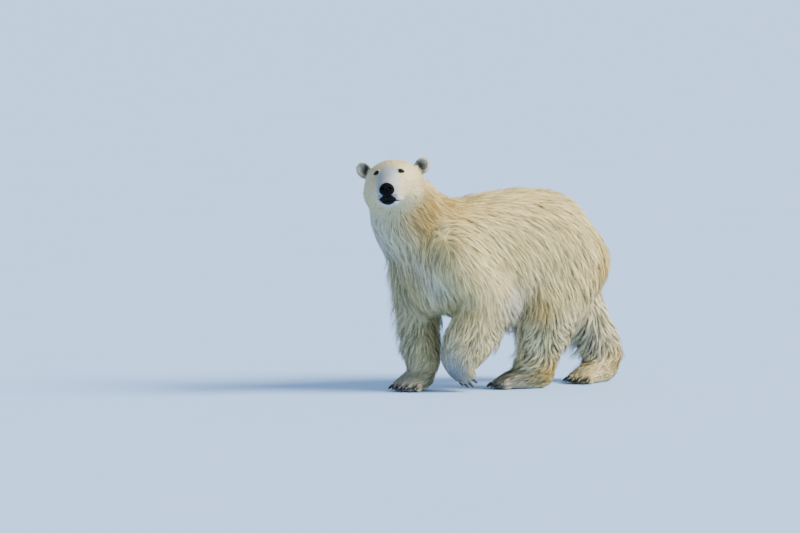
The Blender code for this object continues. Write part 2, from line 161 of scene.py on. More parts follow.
def evaluated(obj):
    """A new mesh with the object's modifiers applied."""
    bpy.context.view_layer.update()
    graph = bpy.context.evaluated_depsgraph_get()
    return bpy.data.meshes.new_from_object(obj.evaluated_get(graph))


def keep_measures(mesh, measures):
    """Stores measures, with a number for each corner, under their names."""
    for name, values in measures.items():
        layer = mesh.attributes.new(name, "FLOAT", "POINT")
        layer.data.foreach_set("value", np.asarray(values, np.float32))


def linked(name, data):
    """A new object of the scene."""
    obj = bpy.data.objects.new(name, data)
    bpy.context.scene.collection.objects.link(obj)
    return obj


def new_piece(name, mesh):
    """Adds an object to the scene that rides on the bear."""
    obj = linked(name, mesh)
    mesh.name = name
    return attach(obj, "root")


print("helpers ready; a soft step at 0.25 gives", soft_step(0, 1, 0.25).round(3))

# %% [markdown]
# ## The outline, in one piece
#
# A real bear has one skin, without seams between neck, trunk and legs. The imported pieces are
# grown by a little over half a millimetre, so that the thin cuts between them close, and joined
# by a voxel remesh, which wraps one even net around everything. It could also be sculpted by
# hand, but a remesh keeps the true outline. Where fur hides it, the net is thinned again.

# %% Join the nodes of flesh
VOXEL = 0.0062
GROW = 0.0006
EVEN_ROUNDS = 14


def joined_flesh():
    """Flesh and eyeballs as one mesh, so that the skin also covers the eyes until it is opened."""
    net = bmesh.new()
    for name in FLESH + ["eye_left", "eye_right"]:
        piece = bmesh.new()
        piece.from_mesh(NODES[name].data)
        bmesh.ops.remove_doubles(piece, verts=piece.verts, dist=1e-5)
        bmesh.ops.recalc_face_normals(piece, faces=piece.faces)
        for vertex in piece.verts:
            vertex.co += vertex.normal * GROW
        grown = bpy.data.meshes.new("grown")
        piece.to_mesh(grown)
        net.from_mesh(grown)
        piece.free()
        bpy.data.meshes.remove(grown)
    mesh = bpy.data.meshes.new("outline")
    net.to_mesh(mesh)
    net.free()
    return mesh


def node_finder():
    """For points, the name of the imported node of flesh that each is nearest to, as a number."""
    points, faces, owner = [], [], []
    for number, name in enumerate(FLESH):
        first = len(points)
        points.extend(vertex.co.copy() for vertex in NODES[name].data.vertices)
        for polygon in NODES[name].data.polygons:
            faces.append([first + i for i in polygon.vertices])
            owner.append(number)
    tree = BVHTree.FromPolygons(points, faces)

    def find(places):
        """The number of the nearest node for each place."""
        return np.array([owner[tree.find_nearest(Vector(place))[2]] for place in places])

    return find


nearest_node = node_finder()
outline = linked("outline", joined_flesh())
remesh = outline.modifiers.new("one net", "REMESH")
remesh.mode = "VOXEL"
remesh.voxel_size = VOXEL
even = outline.modifiers.new("even", "SMOOTH")
even.factor = 0.5
even.iterations = EVEN_ROUNDS
outline.data = evaluated(outline)
outline.modifiers.clear()
print("outline:", len(outline.data.polygons), "faces")

# %% Thin the net where fur will hide it
THIN_TO = 0.33  # share of the net's faces that stay
# nodes with one of these words in their names keep more faces, and the later weight counts
KEEP_MORE = {("head", "ear_", "_paw", "_foot"): 0.1, ("head", "ear_"): 0.4}
detail = outline.vertex_groups.new(name="detail")
node_of_point = nearest_node(mesh_points(outline.data))
for words, weight in KEEP_MORE.items():
    is_fine = np.array([any(word in name for word in words) for name in FLESH])
    detail.add(np.nonzero(is_fine[node_of_point])[0].tolist(), weight, "REPLACE")
thin = outline.modifiers.new("thin", "DECIMATE")
thin.ratio = THIN_TO
thin.vertex_group = "detail"
thin.invert_vertex_group = True
thin.vertex_group_factor = 0.5
skin_mesh = evaluated(outline)
bpy.data.objects.remove(outline)
print("thinned:", len(skin_mesh.polygons), "faces")

# %% [markdown]
# ## A finer net on the face
#
# Lids, lips and the bridge of the nose are folds of two or three millimetres, which the net
# would miss. Its faces are cut in four there, and in four again around the eyes and the mouth.

# %% Refine the face
FACE_FRONT = -0.115  # the face lies before this y of the head's own axes
FACE_SIDE = 0.20
FACE_LOW = -0.20
EYE_ZONE = 0.028  # round each eye
MOUTH_ZONE = -0.262  # before this y


def split_faces(net, wanted):
    """Cuts in four the faces whose middle, in the head's own axes, is wanted."""
    middles = np.array([face.calc_center_median() for face in net.faces])
    chosen = wanted(in_head(middles))
    edges = {edge for face, take in zip(net.faces, chosen) if take for edge in face.edges}
    bmesh.ops.subdivide_edges(net, edges=list(edges), cuts=1, use_grid_fill=True)


def on_face(place):
    """Which places, in the head's own axes, belong to the face."""
    return (place[:, 1] < FACE_FRONT) & (np.abs(place[:, 0]) < FACE_SIDE) & (place[:, 2] > FACE_LOW)


def near_eye_or_mouth(place):
    """Which places of the face need the finest net."""
    from_eye = np.hypot(np.abs(place[:, 0]) - EYE_SPREAD, place[:, 2] - EYE_PLACE.z)
    return on_face(place) & ((from_eye < EYE_ZONE) | (place[:, 1] < MOUTH_ZONE))


net = bmesh.new()
net.from_mesh(skin_mesh)
split_faces(net, on_face)
split_faces(net, near_eye_or_mouth)
bmesh.ops.triangulate(net, faces=net.faces)
net.to_mesh(skin_mesh)
net.free()
skin_mesh.update()
outer = mesh_points(skin_mesh)
outward = mesh_normals(skin_mesh)
print("with a fine face:", len(skin_mesh.polygons), "triangles")

# %% [markdown]
# ## What grows where
#
# A polar bear's coat is short and flat on the muzzle, longer on the cheeks, thick on neck and
# back, longest on the belly and along the backs of the legs, and short again on the feet. Each
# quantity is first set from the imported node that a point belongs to, then spread over the net,
# as warmth spreads through metal, so that it changes without a step.

# %% Neighbours on the net
edge_ends = np.empty(len(skin_mesh.edges) * 2, np.int32)
skin_mesh.edges.foreach_get("vertices", edge_ends)
edge_ends = edge_ends.reshape(-1, 2)
NEIGHBOURS = np.bincount(edge_ends.ravel(), minlength=len(outer))
ROUNDS = {"depth": 20, "length": 24, "width": 14, "stand": 6, "lie": 9, "stain": 20, "pale_shade_blue": 14,
          "kind": 24}  # of spreading, for each quantity


def neighbour_sum(values):
    """At each point of the net, the sum of its neighbours' values."""
    total = np.bincount(edge_ends[:, 0], values[edge_ends[:, 1]], len(values))
    return total + np.bincount(edge_ends[:, 1], values[edge_ends[:, 0]], len(values))


def spread(values, rounds):
    """Evens out a number, or rows of three, between neighbours on the net."""
    columns = values.T if values.ndim == 2 else [values]
    done = []
    for column in columns:
        for _ in range(rounds):
            column = (column + neighbour_sum(column) / NEIGHBOURS) / 2
        done.append(column)
    return np.array(done).T if values.ndim == 2 else done[0]


print("each point has", round(NEIGHBOURS.mean(), 2), "neighbours")

# %% Kind of each point, and the measures of each kind
KINDS = ("head", "ear", "neck", "trunk", "tail", "upper_arm", "thigh", "forearm", "shank", "paw")
#          head    ear    neck   trunk  tail   arm    thigh  f.arm  shank  paw
DEPTH = (0.0170, 0.0040, 0.028, 0.031, 0.018, 0.026, 0.028, 0.020, 0.022, 0.0085)
LENGTH = (0.0350, 0.0170, 0.085, 0.100, 0.075, 0.082, 0.090, 0.066, 0.076, 0.0280)
WIDTH = (0.0012, 0.0010, 0.0014, 0.0014, 0.0015, 0.0014, 0.0015, 0.0015, 0.0016, 0.0013)
COVER = (3.4, 3.2, 4.4, 4.4, 4.4, 4.4, 4.6, 4.6, 4.8, 3.4)  # layers of tufts
LOCK = (5, 5, 4, 4, 6, 5, 7, 9, 12, 8)  # tufts that cling together
CLING = (0.35, 0.30, 0.50, 0.45, 0.62, 0.58, 0.72, 0.86, 0.93, 0.80)  # and how closely
CONTRAST = (0.10, 0.20, 0.22, 0.22, 0.30, 0.24, 0.42, 0.46, 0.66, 0.60)  # between locks
SHADE_LINES = (0.02, 0.04, 0.16, 0.18, 0.10, 0.16, 0.17, 0.16, 0.18, 0.14)  # share of thin locks painted dark as shade between locks
GAP_SHADE = (0.10, 0.20, 0.26, 0.24, 0.35, 0.30, 0.50, 0.58, 0.80, 0.60)  # painted shade on the wool in the gaps between locks
SOFT_ROOT = (0.50, 0.40, 0.20, 0.24, 0.15, 0.18, 0.10, 0.05, 0.00, 0.15)  # less painted shade at the roots


def kind_of(name):
    """The number of a node's kind. Longer words are tried first, as a forearm is no ear."""
    for word in sorted(KINDS, key=len, reverse=True):
        if word in name:
            return KINDS.index(word)
    return KINDS.index("paw")


node_of_point = nearest_node(outer)
kind = np.array([kind_of(name) for name in FLESH])[node_of_point]
place = in_head(outer)
x_head, y_head, z_head = place.T
is_head = kind == KINDS.index("head")
is_paw = kind == KINDS.index("paw")
is_ear = kind == KINDS.index("ear")
height = outer[:, 2]


def by_kind(values):
    """At each point, the value of its kind."""
    return np.array(values, float)[kind]


def is_of(*kinds):
    """Which points are of one of the kinds."""
    return np.isin(kind, [KINDS.index(word) for word in kinds])


is_trunk, is_neck, is_shank = is_of("trunk"), is_of("neck"), is_of("shank")
is_leg = is_of("upper_arm", "thigh", "forearm", "shank")
print({word: int(is_of(word).sum()) for word in KINDS})

# %% Measures of the head
FACE_STEPS = (-0.30, -0.24, -0.17, -0.10, 0.0)  # from the nose backwards along the head's y
FACE_SHARES = (0.0, 0.10, 0.26, 0.60, 1.0)  # of the full coat behind the face
HEAD_DEPTH = (0.0015, 0.0115)  # at the nose, and behind the face
HEAD_LENGTH = (0.0060, 0.0400)
HEAD_WIDTH = (0.0008, 0.0018)
HEAD_COVER = (1.5, 3.8)
CHEEK_DEPTH = 0.004  # more on the cheeks
CHEEK_LENGTH = 0.016
face_share = np.interp(y_head, FACE_STEPS, FACE_SHARES)
cheek = soft_step(0.07, 0.12, np.abs(x_head)) * soft_step(0.02, -0.06, z_head)
cheek = cheek * soft_step(-0.17, -0.08, y_head)
head_depth = mix(*HEAD_DEPTH, face_share) + CHEEK_DEPTH * cheek
head_length = mix(*HEAD_LENGTH, face_share) + CHEEK_LENGTH * cheek
depth = np.where(is_head, head_depth, by_kind(DEPTH))
length = np.where(is_head, head_length, by_kind(LENGTH))
width = np.where(is_head, mix(*HEAD_WIDTH, face_share), by_kind(WIDTH))
cover = np.where(is_head, mix(*HEAD_COVER, face_share), by_kind(COVER))
from_eyes = np.hypot(np.abs(x_head) - EYE_SPREAD, z_head - EYE_PLACE.z)
from_eyes = np.hypot(from_eyes, y_head - EYE_PLACE.y)
print("points on the cheeks:", int((cheek > 0.5).sum()))

# %% Longer under the belly and behind the legs, shorter down the legs
BELLY_EXTRA = 0.022
BEHIND_EXTRA = 0.020
ANKLE_EXTRA = 0.014
LOW_DEPTH_CUT = 0.25
LOW_LENGTH_CUT = 0.34
belly = is_trunk * soft_step(0.0, -0.7, outward[:, 2]) * soft_step(0.75, 0.5, height)
behind = is_leg * soft_step(0.2, 0.8, outward[:, 1])
length = length + BELLY_EXTRA * belly + BEHIND_EXTRA * behind
low_leg = np.where(is_leg, soft_step(0.45, 0.14, height), 0)
depth = depth * (1 - LOW_DEPTH_CUT * low_leg)
length = length * (1 - LOW_LENGTH_CUT * low_leg)
length = length + ANKLE_EXTRA * is_paw * soft_step(0.04, 0.11, height)
print("longest tufts so far:", round(length.max(), 3))

# %% [markdown]
# ## Locks that stand off the body
#
# On the chest, at the elbows and along the edges of the legs, single long locks stand away from
# the body and make a ragged edge. They could be placed one by one, but a soft patch at each
# such place is enough: it says how far the locks may stand, and a lock is later chosen by chance.
# The same kind of patch serves for the markings.

# %% Fringes
def patch(centre, reach):
    """1 at a place of the bear's outline, and falling off over a reach along each axis."""
    return np.exp(-(((outer - np.array(centre)) / np.array(reach)) ** 2).sum(1))


def with_patches(values, patches, share=1):
    """The values, raised to each patch's amount where the patch is stronger."""
    for centre, reach, amount in patches:
        values = np.maximum(values, amount * patch(centre, reach) * share)
    return values


FRINGES = (
    ((-0.12, -0.62, 0.66), (0.14, 0.12, 0.26), 1.00),  # chest
    ((-0.18, -0.53, 0.44), (0.10, 0.10, 0.24), 1.50),  # front of the right foreleg
    ((0.24, -0.04, 0.54), (0.10, 0.09, 0.10), 1.60),  # left elbow
    ((0.16, -0.10, 0.36), (0.10, 0.08, 0.16), 0.90),  # back of the left forearm
    ((0.14, 0.07, 0.26), (0.10, 0.09, 0.14), 2.20),  # front of the left shank
    ((-0.12, 0.62, 0.24), (0.10, 0.09, 0.13), 2.00),  # front of the right shank
    ((0.18, 0.36, 0.32), (0.10, 0.10, 0.16), 0.80),  # back of the left shank
    ((-0.12, 0.90, 0.24), (0.10, 0.08, 0.20), 0.60),  # right hock
    ((-0.18, -0.30, 0.42), (0.10, 0.08, 0.20), 0.80),  # back of the right foreleg
    ((0.00, 0.10, 0.38), (0.26, 0.30, 0.08), 0.80),  # belly
)
STAND_LENGTH = 0.60  # how much longer a lock is where it stands
LONG_ON_FEET = (
    ((0.12, -0.36, 0.10), (0.10, 0.10, 0.14), 0.018),  # left fore paw
    ((0.08, 0.06, 0.04), (0.14, 0.16, 0.10), 0.020),  # left hind foot
)
stand = with_patches(0.14 * is_trunk + 0.22 * is_leg + 0.10 * is_shank, FRINGES)
length = length * (1 + STAND_LENGTH * np.minimum(stand, 1))
for centre, reach, extra in LONG_ON_FEET:
    length += extra * is_paw * patch(centre, reach)
stand = spread(stand, ROUNDS["stand"])
print("points where locks stand:", int((stand > 0.5).sum()))

# %% Toes, soles and the rims of the eyes
TOE_CUT = 0.30
SOLE_DEPTH = 0.0008
sole = is_paw * soft_step(-0.5, -0.9, outward[:, 2]) * soft_step(0.03, 0.012, height)
toes = is_paw * soft_step(0.05, 0.025, height)
depth = spread(depth * (1 - TOE_CUT * toes), ROUNDS["depth"])
depth = mix(depth, SOLE_DEPTH, sole)
length = spread(length * (1 - TOE_CUT * toes), ROUNDS["length"])
length = np.minimum(length, 0.0025 + 0.45 * np.maximum(from_eyes - 0.022, 0))
width = spread(width, ROUNDS["width"])
print("depth from", round(depth.min(), 4), "to", round(depth.max(), 4))

# %% [markdown]
# ## The lie of the coat
#
# Hair runs from the nose over the head, back along the neck and spine, down the flanks and the
# legs, and forwards over the feet to the toes. A simple rule for each part is enough, because
# its direction is pressed flat onto the skin, and spreading it turns it gently between parts.
# A parting runs down each shoulder, and a whorl sits at the root of the neck.

# %% Which way the hair lies
WHORL = (0.21, -0.46, 0.87)
WHORL_REACH = (0.12, 0.11, 0.11)
SWEEP = {"fore_left": 1.3, "fore_right": 0.7, "hind_left": 1.2, "hind_right": 0.8}
EAR_BASE = (0.135, 0.034, 0.020)


def lie_of_coat():
    """The way the hair lies at each point of the outline."""
    x, y, z = outer.T
    one = np.ones(len(outer))
    way = np.zeros_like(outer)

    def lay(wanted, *direction):
        """Sets the direction of the wanted points, from numbers or from a number for each."""
        way[wanted] = np.stack([part * one for part in direction], axis=1)[wanted]

    down = mix(0.45, 2.4, soft_step(1.10, 0.50, z))
    down = down + 1.3 * soft_step(0.0, 0.7, y) * soft_step(1.12, 1.0, z)
    lay(is_trunk, 0, 1, -down)
    lay(is_trunk & (y < -0.42) & (outward[:, 1] < -0.2), 0, 0.25, -1)
    throat = soft_step(0.1, 0.6, -outward[:, 1]) * soft_step(0.3, -0.2, outward[:, 2])
    lay(is_neck, 0, mix(0.85, 0.25, throat), mix(-0.75, -1.0, throat))
    lay(is_leg, 0, 0.3, -1)

    # a parting runs down each shoulder: hair before it falls forwards, and hair behind it back
    parting = soft_step(-0.50, -0.34, y) * soft_step(0.45, 0.65, z)
    backwards = mix(-0.45, 0.75, parting) * soft_step(0.3, 0.6, z) + 0.4 * soft_step(0.6, 0.4, z)
    lay(is_of("upper_arm"), 0, backwards, -1)
    # hair runs out of the whorl, and rather downwards than upwards
    from_whorl = unit(outer - np.array(WHORL) + np.array((0, 0, -0.03)))
    at_whorl = patch(WHORL, WHORL_REACH)[:, None] * ~is_head[:, None]
    way = unit(way) * (1 - at_whorl) + from_whorl * at_whorl
    # the feathers of each leg sweep outwards from its middle line
    for leg, sweep in SWEEP.items():
        lower = FLESH.index(leg + ("_forearm" if leg.startswith("fore") else "_shank"))
        mine = node_of_point == lower
        centre_y = y[mine].mean()
        aside = np.clip((y - centre_y) / 0.12, -1, 1)
        lay(mine, 0.25 * np.sign(x) * (leg != "fore_right"), 0.15 + sweep * aside, -1)
    lay(is_of("tail"), 0, 0.35, -1)
    for leg in LEGS:
        mine = is_paw & (node_of_point == FLESH.index(paw_node(leg)))
        way[mine] = PAW_WAY[leg]
    from_nose = unit(place - np.array((0, -0.37, -0.03)))
    from_nose += np.array((0, 0.45, 0)) + np.outer(cheek, (0, 0.25, -0.5))
    way[is_head] = (from_nose @ np.array(HEAD_AXES).T)[is_head]
    from_base = unit(place - own_side(EAR_BASE, x_head))
    way[is_ear] = (from_base @ np.array(HEAD_AXES).T)[is_ear]
    return unit(way)


def flat_on(way, normals):
    """Directions pressed onto the skin."""
    return unit(way - normals * (way * normals).sum(1)[:, None])


way = lie_of_coat()
for _ in range(3):
    way = flat_on(spread(way, ROUNDS["lie"]), outward)
print("on average the coat runs", way.mean(0).round(2))

# %% [markdown]
# ## The skin
#
# The skin lies inside the outline by the depth of the coat. On the face it also gets the folds
# that the solids leave out: a hollow for each eye with lids that wrap the ball, a groove for the
# mouth with a full upper lip over it, and two soft pads that carry the whiskers. Each of them is
# a bump or a dip whose strength falls off with the distance from a line or a point.

# %% Sink the skin
LOWEST_SKIN = 0.0004  # above the floor
depth = np.minimum(depth, 0.0022 + 0.25 * np.maximum(from_eyes - 0.02, 0))
skin = outer - outward * depth[:, None]
skin[:, 2] = np.maximum(skin[:, 2], LOWEST_SKIN)
face = in_head(skin)
away = outward @ np.array(HEAD_AXES)
print("skin under", round(depth.mean(), 4), "of coat on average")

# %% Fold the muzzle
MOUTH_HEIGHT = -0.119
WHISKER_PAD = (0.034, -0.286, -0.088)
CHEEK_HOLLOW = (0.064, -0.205, -0.030)
on_muzzle = soft_step(-0.13, -0.18, face[:, 1]) * is_head
mouth_line = MOUTH_HEIGHT - 0.10 * np.maximum(np.abs(face[:, 0]) - 0.030, 0)
over_mouth = face[:, 2] - mouth_line
from_pad = np.linalg.norm(face - own_side(WHISKER_PAD, face[:, 0]), axis=1)
from_hollow = np.linalg.norm(face - own_side(CHEEK_HOLLOW, face[:, 0]), axis=1)
fold = -0.0060 * hill(over_mouth, 0.0036)  # the mouth, and a lip above and below it
fold += 0.0042 * hill(over_mouth - 0.013, 0.009)
fold += 0.0022 * hill(over_mouth + 0.011, 0.007)
fold += 0.0045 * hill(from_pad, 0.024)
fold -= 0.0065 * hill(from_hollow, 0.030)
middle_line = hill(face[:, 0], 0.004) * soft_step(MOUTH_HEIGHT, MOUTH_HEIGHT + 0.01, face[:, 2])
middle_line = middle_line * soft_step(-0.26, -0.28, face[:, 1])
fold -= 0.004 * middle_line * soft_step(-0.05, -0.08, face[:, 2])
face = face + away * (fold * on_muzzle)[:, None]
print("folds from", fold.min().round(4), "to", fold.max().round(4))

# %% Wrap the lids round the eyes
EYE_OPENING = (0.0120, 0.0088)  # half width and half height between the lids
LID_THICKNESS = 0.0016


def eye_frame(side):
    """An eye's middle and its axes in the head's own axes: to its inner corner, up, and out."""
    centre = np.array((side * EYE_SPREAD, EYE_PLACE.y, EYE_PLACE.z))
    near = np.linalg.norm(place - centre, axis=1) < 0.03
    out = unit((outward[near] @ np.array(HEAD_AXES)).sum(0)[None])[0]
    inner = np.array((-side, 0.0, -0.60))
    inner = unit((inner - out * (inner @ out))[None])[0]
    up = np.cross(inner, out) * -side
    return centre, inner, up if up[2] > 0 else -up, out


opening = np.full(len(face), 9.0)
for side in (-1, 1):
    centre, inner, up, out = eye_frame(side)
    from_eye = face - centre
    across, over, ahead = from_eye @ inner, from_eye @ up, from_eye @ out
    far = np.linalg.norm(from_eye, axis=1)
    corner = 1 + 0.35 * soft_step(0, 0.012, across)  # the inner corner is drawn out
    around = np.hypot(across / (EYE_OPENING[0] * corner), over / EYE_OPENING[1])
    around = np.where(ahead > 0, around, 9)
    opening = np.minimum(opening, around)
    lid = EYE_RADIUS + LID_THICKNESS + 0.0010 * hill(around - 1.5, 0.5)
    wraps = (around > 1) & (far < lid)
    inside = around <= 1
    new_far = np.where(wraps, lid, np.where(inside, np.minimum(far, EYE_RADIUS * 0.8), far))
    face = centre + from_eye * (new_far / np.maximum(far, 1e-6))[:, None]
    slope = np.where(far > lid, 0.0042 * hill(far - lid, 0.013) * (ahead > -0.002), 0)
    face = face + np.outer(slope, out)
skin = face @ np.array(HEAD_AXES).T + np.array(HEAD_AT)
skin[:, 2] = np.maximum(skin[:, 2], LOWEST_SKIN)
skin_mesh.vertices.foreach_set("co", skin.astype(np.float32).ravel())
skin_mesh.update()
skin_normals = mesh_normals(skin_mesh)
print("skin box", skin.min(0).round(3), skin.max(0).round(3))

# %% [markdown]
# ## The markings
#
# A white bear isn't white all over. Oil from seals and the sun stain the coat straw yellow on
# the neck, the rump and the legs, while the muzzle, the throat and the paws stay pale, and their
# pale is tinted the blue of sky-lit shade, which is painted. Shade is painted into the colour as
# well, where the coat lies in shade, and on the feet shade and dirt are painted together. The
# markings could be painted by hand, but soft patches at named places are easier to move. The
# same masks colour the skin and every tuft that grows on it, so that the two can't disagree.

# %% Places of the markings
STAINS = (  # a place, its reach along each axis, and how strong it is
    ((0.19, -0.60, 1.08), (0.15, 0.14, 0.18), 1.50),  # the left of the neck
    ((0.22, -0.67, 1.10), (0.10, 0.09, 0.14), 1.30),  # under the left ear
    ((0.08, -0.44, 1.10), (0.20, 0.18, 0.13), 1.00),  # over the shoulders
    ((-0.16, -0.50, 0.98), (0.12, 0.16, 0.18), 0.60),  # the right of the neck
    ((0.20, 0.62, 0.74), (0.12, 0.10, 0.20), 1.00),  # left edge of the rump
    ((-0.20, 0.60, 0.74), (0.12, 0.12, 0.20), 0.60),  # right edge of the rump
    ((0.28, 0.15, 0.51), (0.08, 0.10, 0.09), 1.20),  # left knee
    ((0.24, 0.22, 0.85), (0.14, 0.24, 0.22), 0.34),  # left flank
    ((0.14, 0.28, 0.13), (0.12, 0.09, 0.13), 1.10),  # left heel
    ((-0.07, 0.86, 0.16), (0.12, 0.08, 0.12), 0.90),  # right heel
    ((0.24, -0.20, 0.50), (0.12, 0.14, 0.16), 0.50),  # left forearm
)
# paler hair, whose blue tint is painted sky-lit shade
PALE_SHADE_BLUE_PLACES = (
    ((0.13, -0.57, 0.78), (0.07, 0.07, 0.08), 0.45),  # front of the left shoulder
    ((0.15, -0.50, 0.66), (0.07, 0.07, 0.09), 0.55),  # top of the left foreleg
    ((-0.02, -0.72, 0.98), (0.16, 0.14, 0.17), 0.65),  # throat
    ((0.12, -0.36, 0.10), (0.10, 0.10, 0.22), 1.00),  # left fore paw
    ((-0.14, -0.56, 0.26), (0.12, 0.10, 0.34), 0.35),  # front of the right foreleg
    ((-0.11, -0.54, 0.05), (0.14, 0.16, 0.12), 0.60),  # right fore paw
    ((0.25, -0.05, 0.56), (0.07, 0.09, 0.10), 0.65),  # left elbow
    ((-0.12, 0.70, 0.32), (0.14, 0.15, 0.24), 0.40),  # right hind leg
    ((0.17, 0.20, 0.30), (0.10, 0.12, 0.20), 0.16),  # left hind leg
    ((0.08, 0.04, 0.04), (0.14, 0.14, 0.08), 0.50),  # toes of the left hind foot
    ((0.02, 0.10, 0.38), (0.26, 0.36, 0.09), 0.30),  # belly
)
PAINTED_SHADE = (  # painted shade, coloured in where locks shade one another and where the coat faces away from the light; on the feet it is painted shade and dirt together
    ((0.19, -0.52, 0.94), (0.09, 0.07, 0.08), 0.40),  # the whorl on the shoulder
    ((0.14, -0.62, 0.90), (0.07, 0.07, 0.12), 0.20),  # below the left of the neck
    ((0.20, -0.62, 1.04), (0.12, 0.13, 0.17), 0.24),  # the gold of the neck
    ((-0.04, -0.60, 0.66), (0.20, 0.18, 0.24), 0.30),  # chest, between the legs
    ((0.10, 0.02, 0.46), (0.20, 0.16, 0.10), 0.16),  # belly behind the elbow
    ((-0.14, -0.44, 0.36), (0.16, 0.18, 0.24), 0.14),  # right foreleg
    ((0.08, 0.04, 0.04), (0.14, 0.18, 0.09), 0.54),  # left hind foot
    ((0.11, 0.15, 0.06), (0.12, 0.12, 0.07), 0.54),  # heel of the left hind foot
    ((0.12, -0.34, 0.10), (0.12, 0.12, 0.16), 0.58),  # left fore paw
    ((-0.11, -0.56, 0.05), (0.14, 0.14, 0.10), 0.38),  # right fore paw
)
CALM = (  # where the locks hardly part, so less shade is painted between them
    ((0.12, -0.38, 0.14), (0.14, 0.14, 0.16), 0.70),  # left fore paw
    ((-0.13, -0.50, 0.12), (0.14, 0.16, 0.10), 0.70),  # right fore paw
    ((0.24, -0.20, 0.60), (0.10, 0.12, 0.14), 0.70),  # left elbow
)
print(len(STAINS), "yellow,", len(PALE_SHADE_BLUE_PLACES), "pale and", len(PAINTED_SHADE), "shaded places")

# %% Stain, paleness with its painted blue, and painted shade of each point
def markings():
    """How yellow, how pale with a painted sky-lit blue, and how much painted shade the coat has at
    each point.
    """
    stain = np.full(len(outer), 0.22)
    stain = np.where(is_head, 0.14 + 0.14 * soft_step(0.02, 0.09, z_head), stain)
    stain = np.where(is_ear, 0.05, stain)
    stain = np.where(is_of("thigh", "shank"), 0.18, stain)
    behind_face = np.where(is_head, soft_step(-0.15, -0.03, y_head), 1)
    stain = with_patches(stain, STAINS, behind_face)
    muzzle = soft_step(0.095, 0.030, np.abs(x_head)) * soft_step(-0.13, -0.20, y_head)
    # the muzzle is pale, and the pale carries a painted sky-lit blue
    pale_shade_blue = np.where(is_head, np.maximum(0.12, muzzle), 0.45 * is_ear)
    pale_shade_blue = with_patches(pale_shade_blue, PALE_SHADE_BLUE_PLACES)
    # painted shade: the whole head is coloured a little darker, and the bridge of the muzzle more
    shade = is_head * (0.12 + 0.30 * muzzle * soft_step(-0.10, -0.05, z_head))
    shade = with_patches(shade, PAINTED_SHADE)
    return spread(stain, ROUNDS["stain"]), spread(pale_shade_blue, ROUNDS["pale_shade_blue"]), shade


calm = with_patches(np.zeros(len(outer)), CALM)
stain, pale_shade_blue, shade = markings()
print("stain", round(stain.mean(), 2), "pale_shade_blue", round(pale_shade_blue.mean(), 2))

# %% [markdown]
# ## Black skin, dark hair and painted shade
#
# The lips are bare and black, and they rise in a bow on both sides up to the nose. The rims of
# the eyes are bare too. Dark hair sits between the claws and marks the rows that the whiskers grow
# from, and shade is painted into the hollows of the ears and at the inner corners of the eyes. All
# of these are drawn with soft steps in the head's own axes.

# %% Bare skin
LIP_HEIGHTS = (-0.143, -0.138, -0.128, -0.112, -0.100, -0.092, -0.084, -0.070)
LIP_HALF_WIDTHS = (0.000, 0.018, 0.036, 0.047, 0.044, 0.030, 0.025, 0.024)


def bare_skin():
    """Black lips, which reach up to the nose, and the rims of the eyes."""
    x = np.abs(x_head)
    lips = soft_step(0.004, -0.004, x - np.interp(z_head, LIP_HEIGHTS, LIP_HALF_WIDTHS))
    lips = lips * soft_step(-0.215, -0.24, y_head) * (z_head < -0.06)
    corners = soft_step(0.0055, 0.0030, np.abs(over_mouth)) * soft_step(0.075, 0.055, x)
    rims = soft_step(2.15, 1.85, opening)
    mouth = np.maximum(lips, corners * soft_step(-0.165, -0.185, y_head))
    return np.clip(np.maximum(mouth * is_head, rims), 0, 1)


bare = bare_skin()
print("points of bare skin:", round(bare.sum()))

# %% Dark hair and painted shade
WHISKER_ROW = 0.0085  # from one row to the next
CLAW_DARK = 0.95
BLEACHED_PAW = ((0.12, -0.38, 0.08), (0.12, 0.14, 0.14))  # the left fore paw has hardly any


def near_claws():
    """The distance of each point of a paw from the nearest claw."""
    claws = np.concatenate([mesh_points(obj.data) for name, obj in NODES.items()
                            if name.startswith("claw_")])
    claw_tree = tree_of(claws)
    near = np.full(len(outer), 1.0)
    for i in np.nonzero(is_paw)[0]:
        near[i] = claw_tree.find(outer[i])[2]
    return near


def dark_hair():
    """Painted shade in the hollows of the ears and at the inner corners of the eyes, and dark hair
    around the claws and in the whiskers' rows.
    """
    x = np.abs(x_head)
    ahead = -away[:, 1]
    # painted shade in the hollow of each ear
    hollow = hill((x - 0.152) / 0.021, 1) * hill((z_head - 0.062) / 0.038, 1)
    dish = soft_step(0.046, 0.030, np.hypot(x - 0.160, z_head - 0.066))
    ear_hollow_shade = np.maximum(np.minimum(1.25 * hollow, 0.97), 0.06 * dish)
    dark = is_ear * soft_step(0.1, 0.6, ahead) * ear_hollow_shade
    rows = 0.5 + 0.5 * np.sin(2 * math.pi * (z_head + 0.25 * x) / WHISKER_ROW)
    beside = soft_step(0.016, 0.026, x) * soft_step(0.060, 0.048, x)
    beside = beside * soft_step(-0.130, -0.120, z_head) * soft_step(-0.072, -0.084, z_head)
    rows = np.minimum(1.5 * rows, 1) * soft_step(-0.235, -0.250, y_head)
    dark = np.maximum(dark, 0.92 * is_head * rows * beside)
    # painted shade at the inner corners of the eyes, under the brows
    brow_shade = hill((x - 0.046) / 0.020, 1) * hill((z_head - 0.050) / 0.014, 1)
    dark = np.maximum(dark, 0.16 * is_head * brow_shade * soft_step(-0.10, -0.14, y_head))
    by_claws = soft_step(0.032, 0.017, near_claws())
    return np.maximum(dark, by_claws * (CLAW_DARK - 0.80 * patch(*BLEACHED_PAW)))


# dark carries the dark hair and the painted shade together
dark = np.maximum(dark_hair(), shade)
print("points of dark hair:", int((dark > 0.5).sum()))

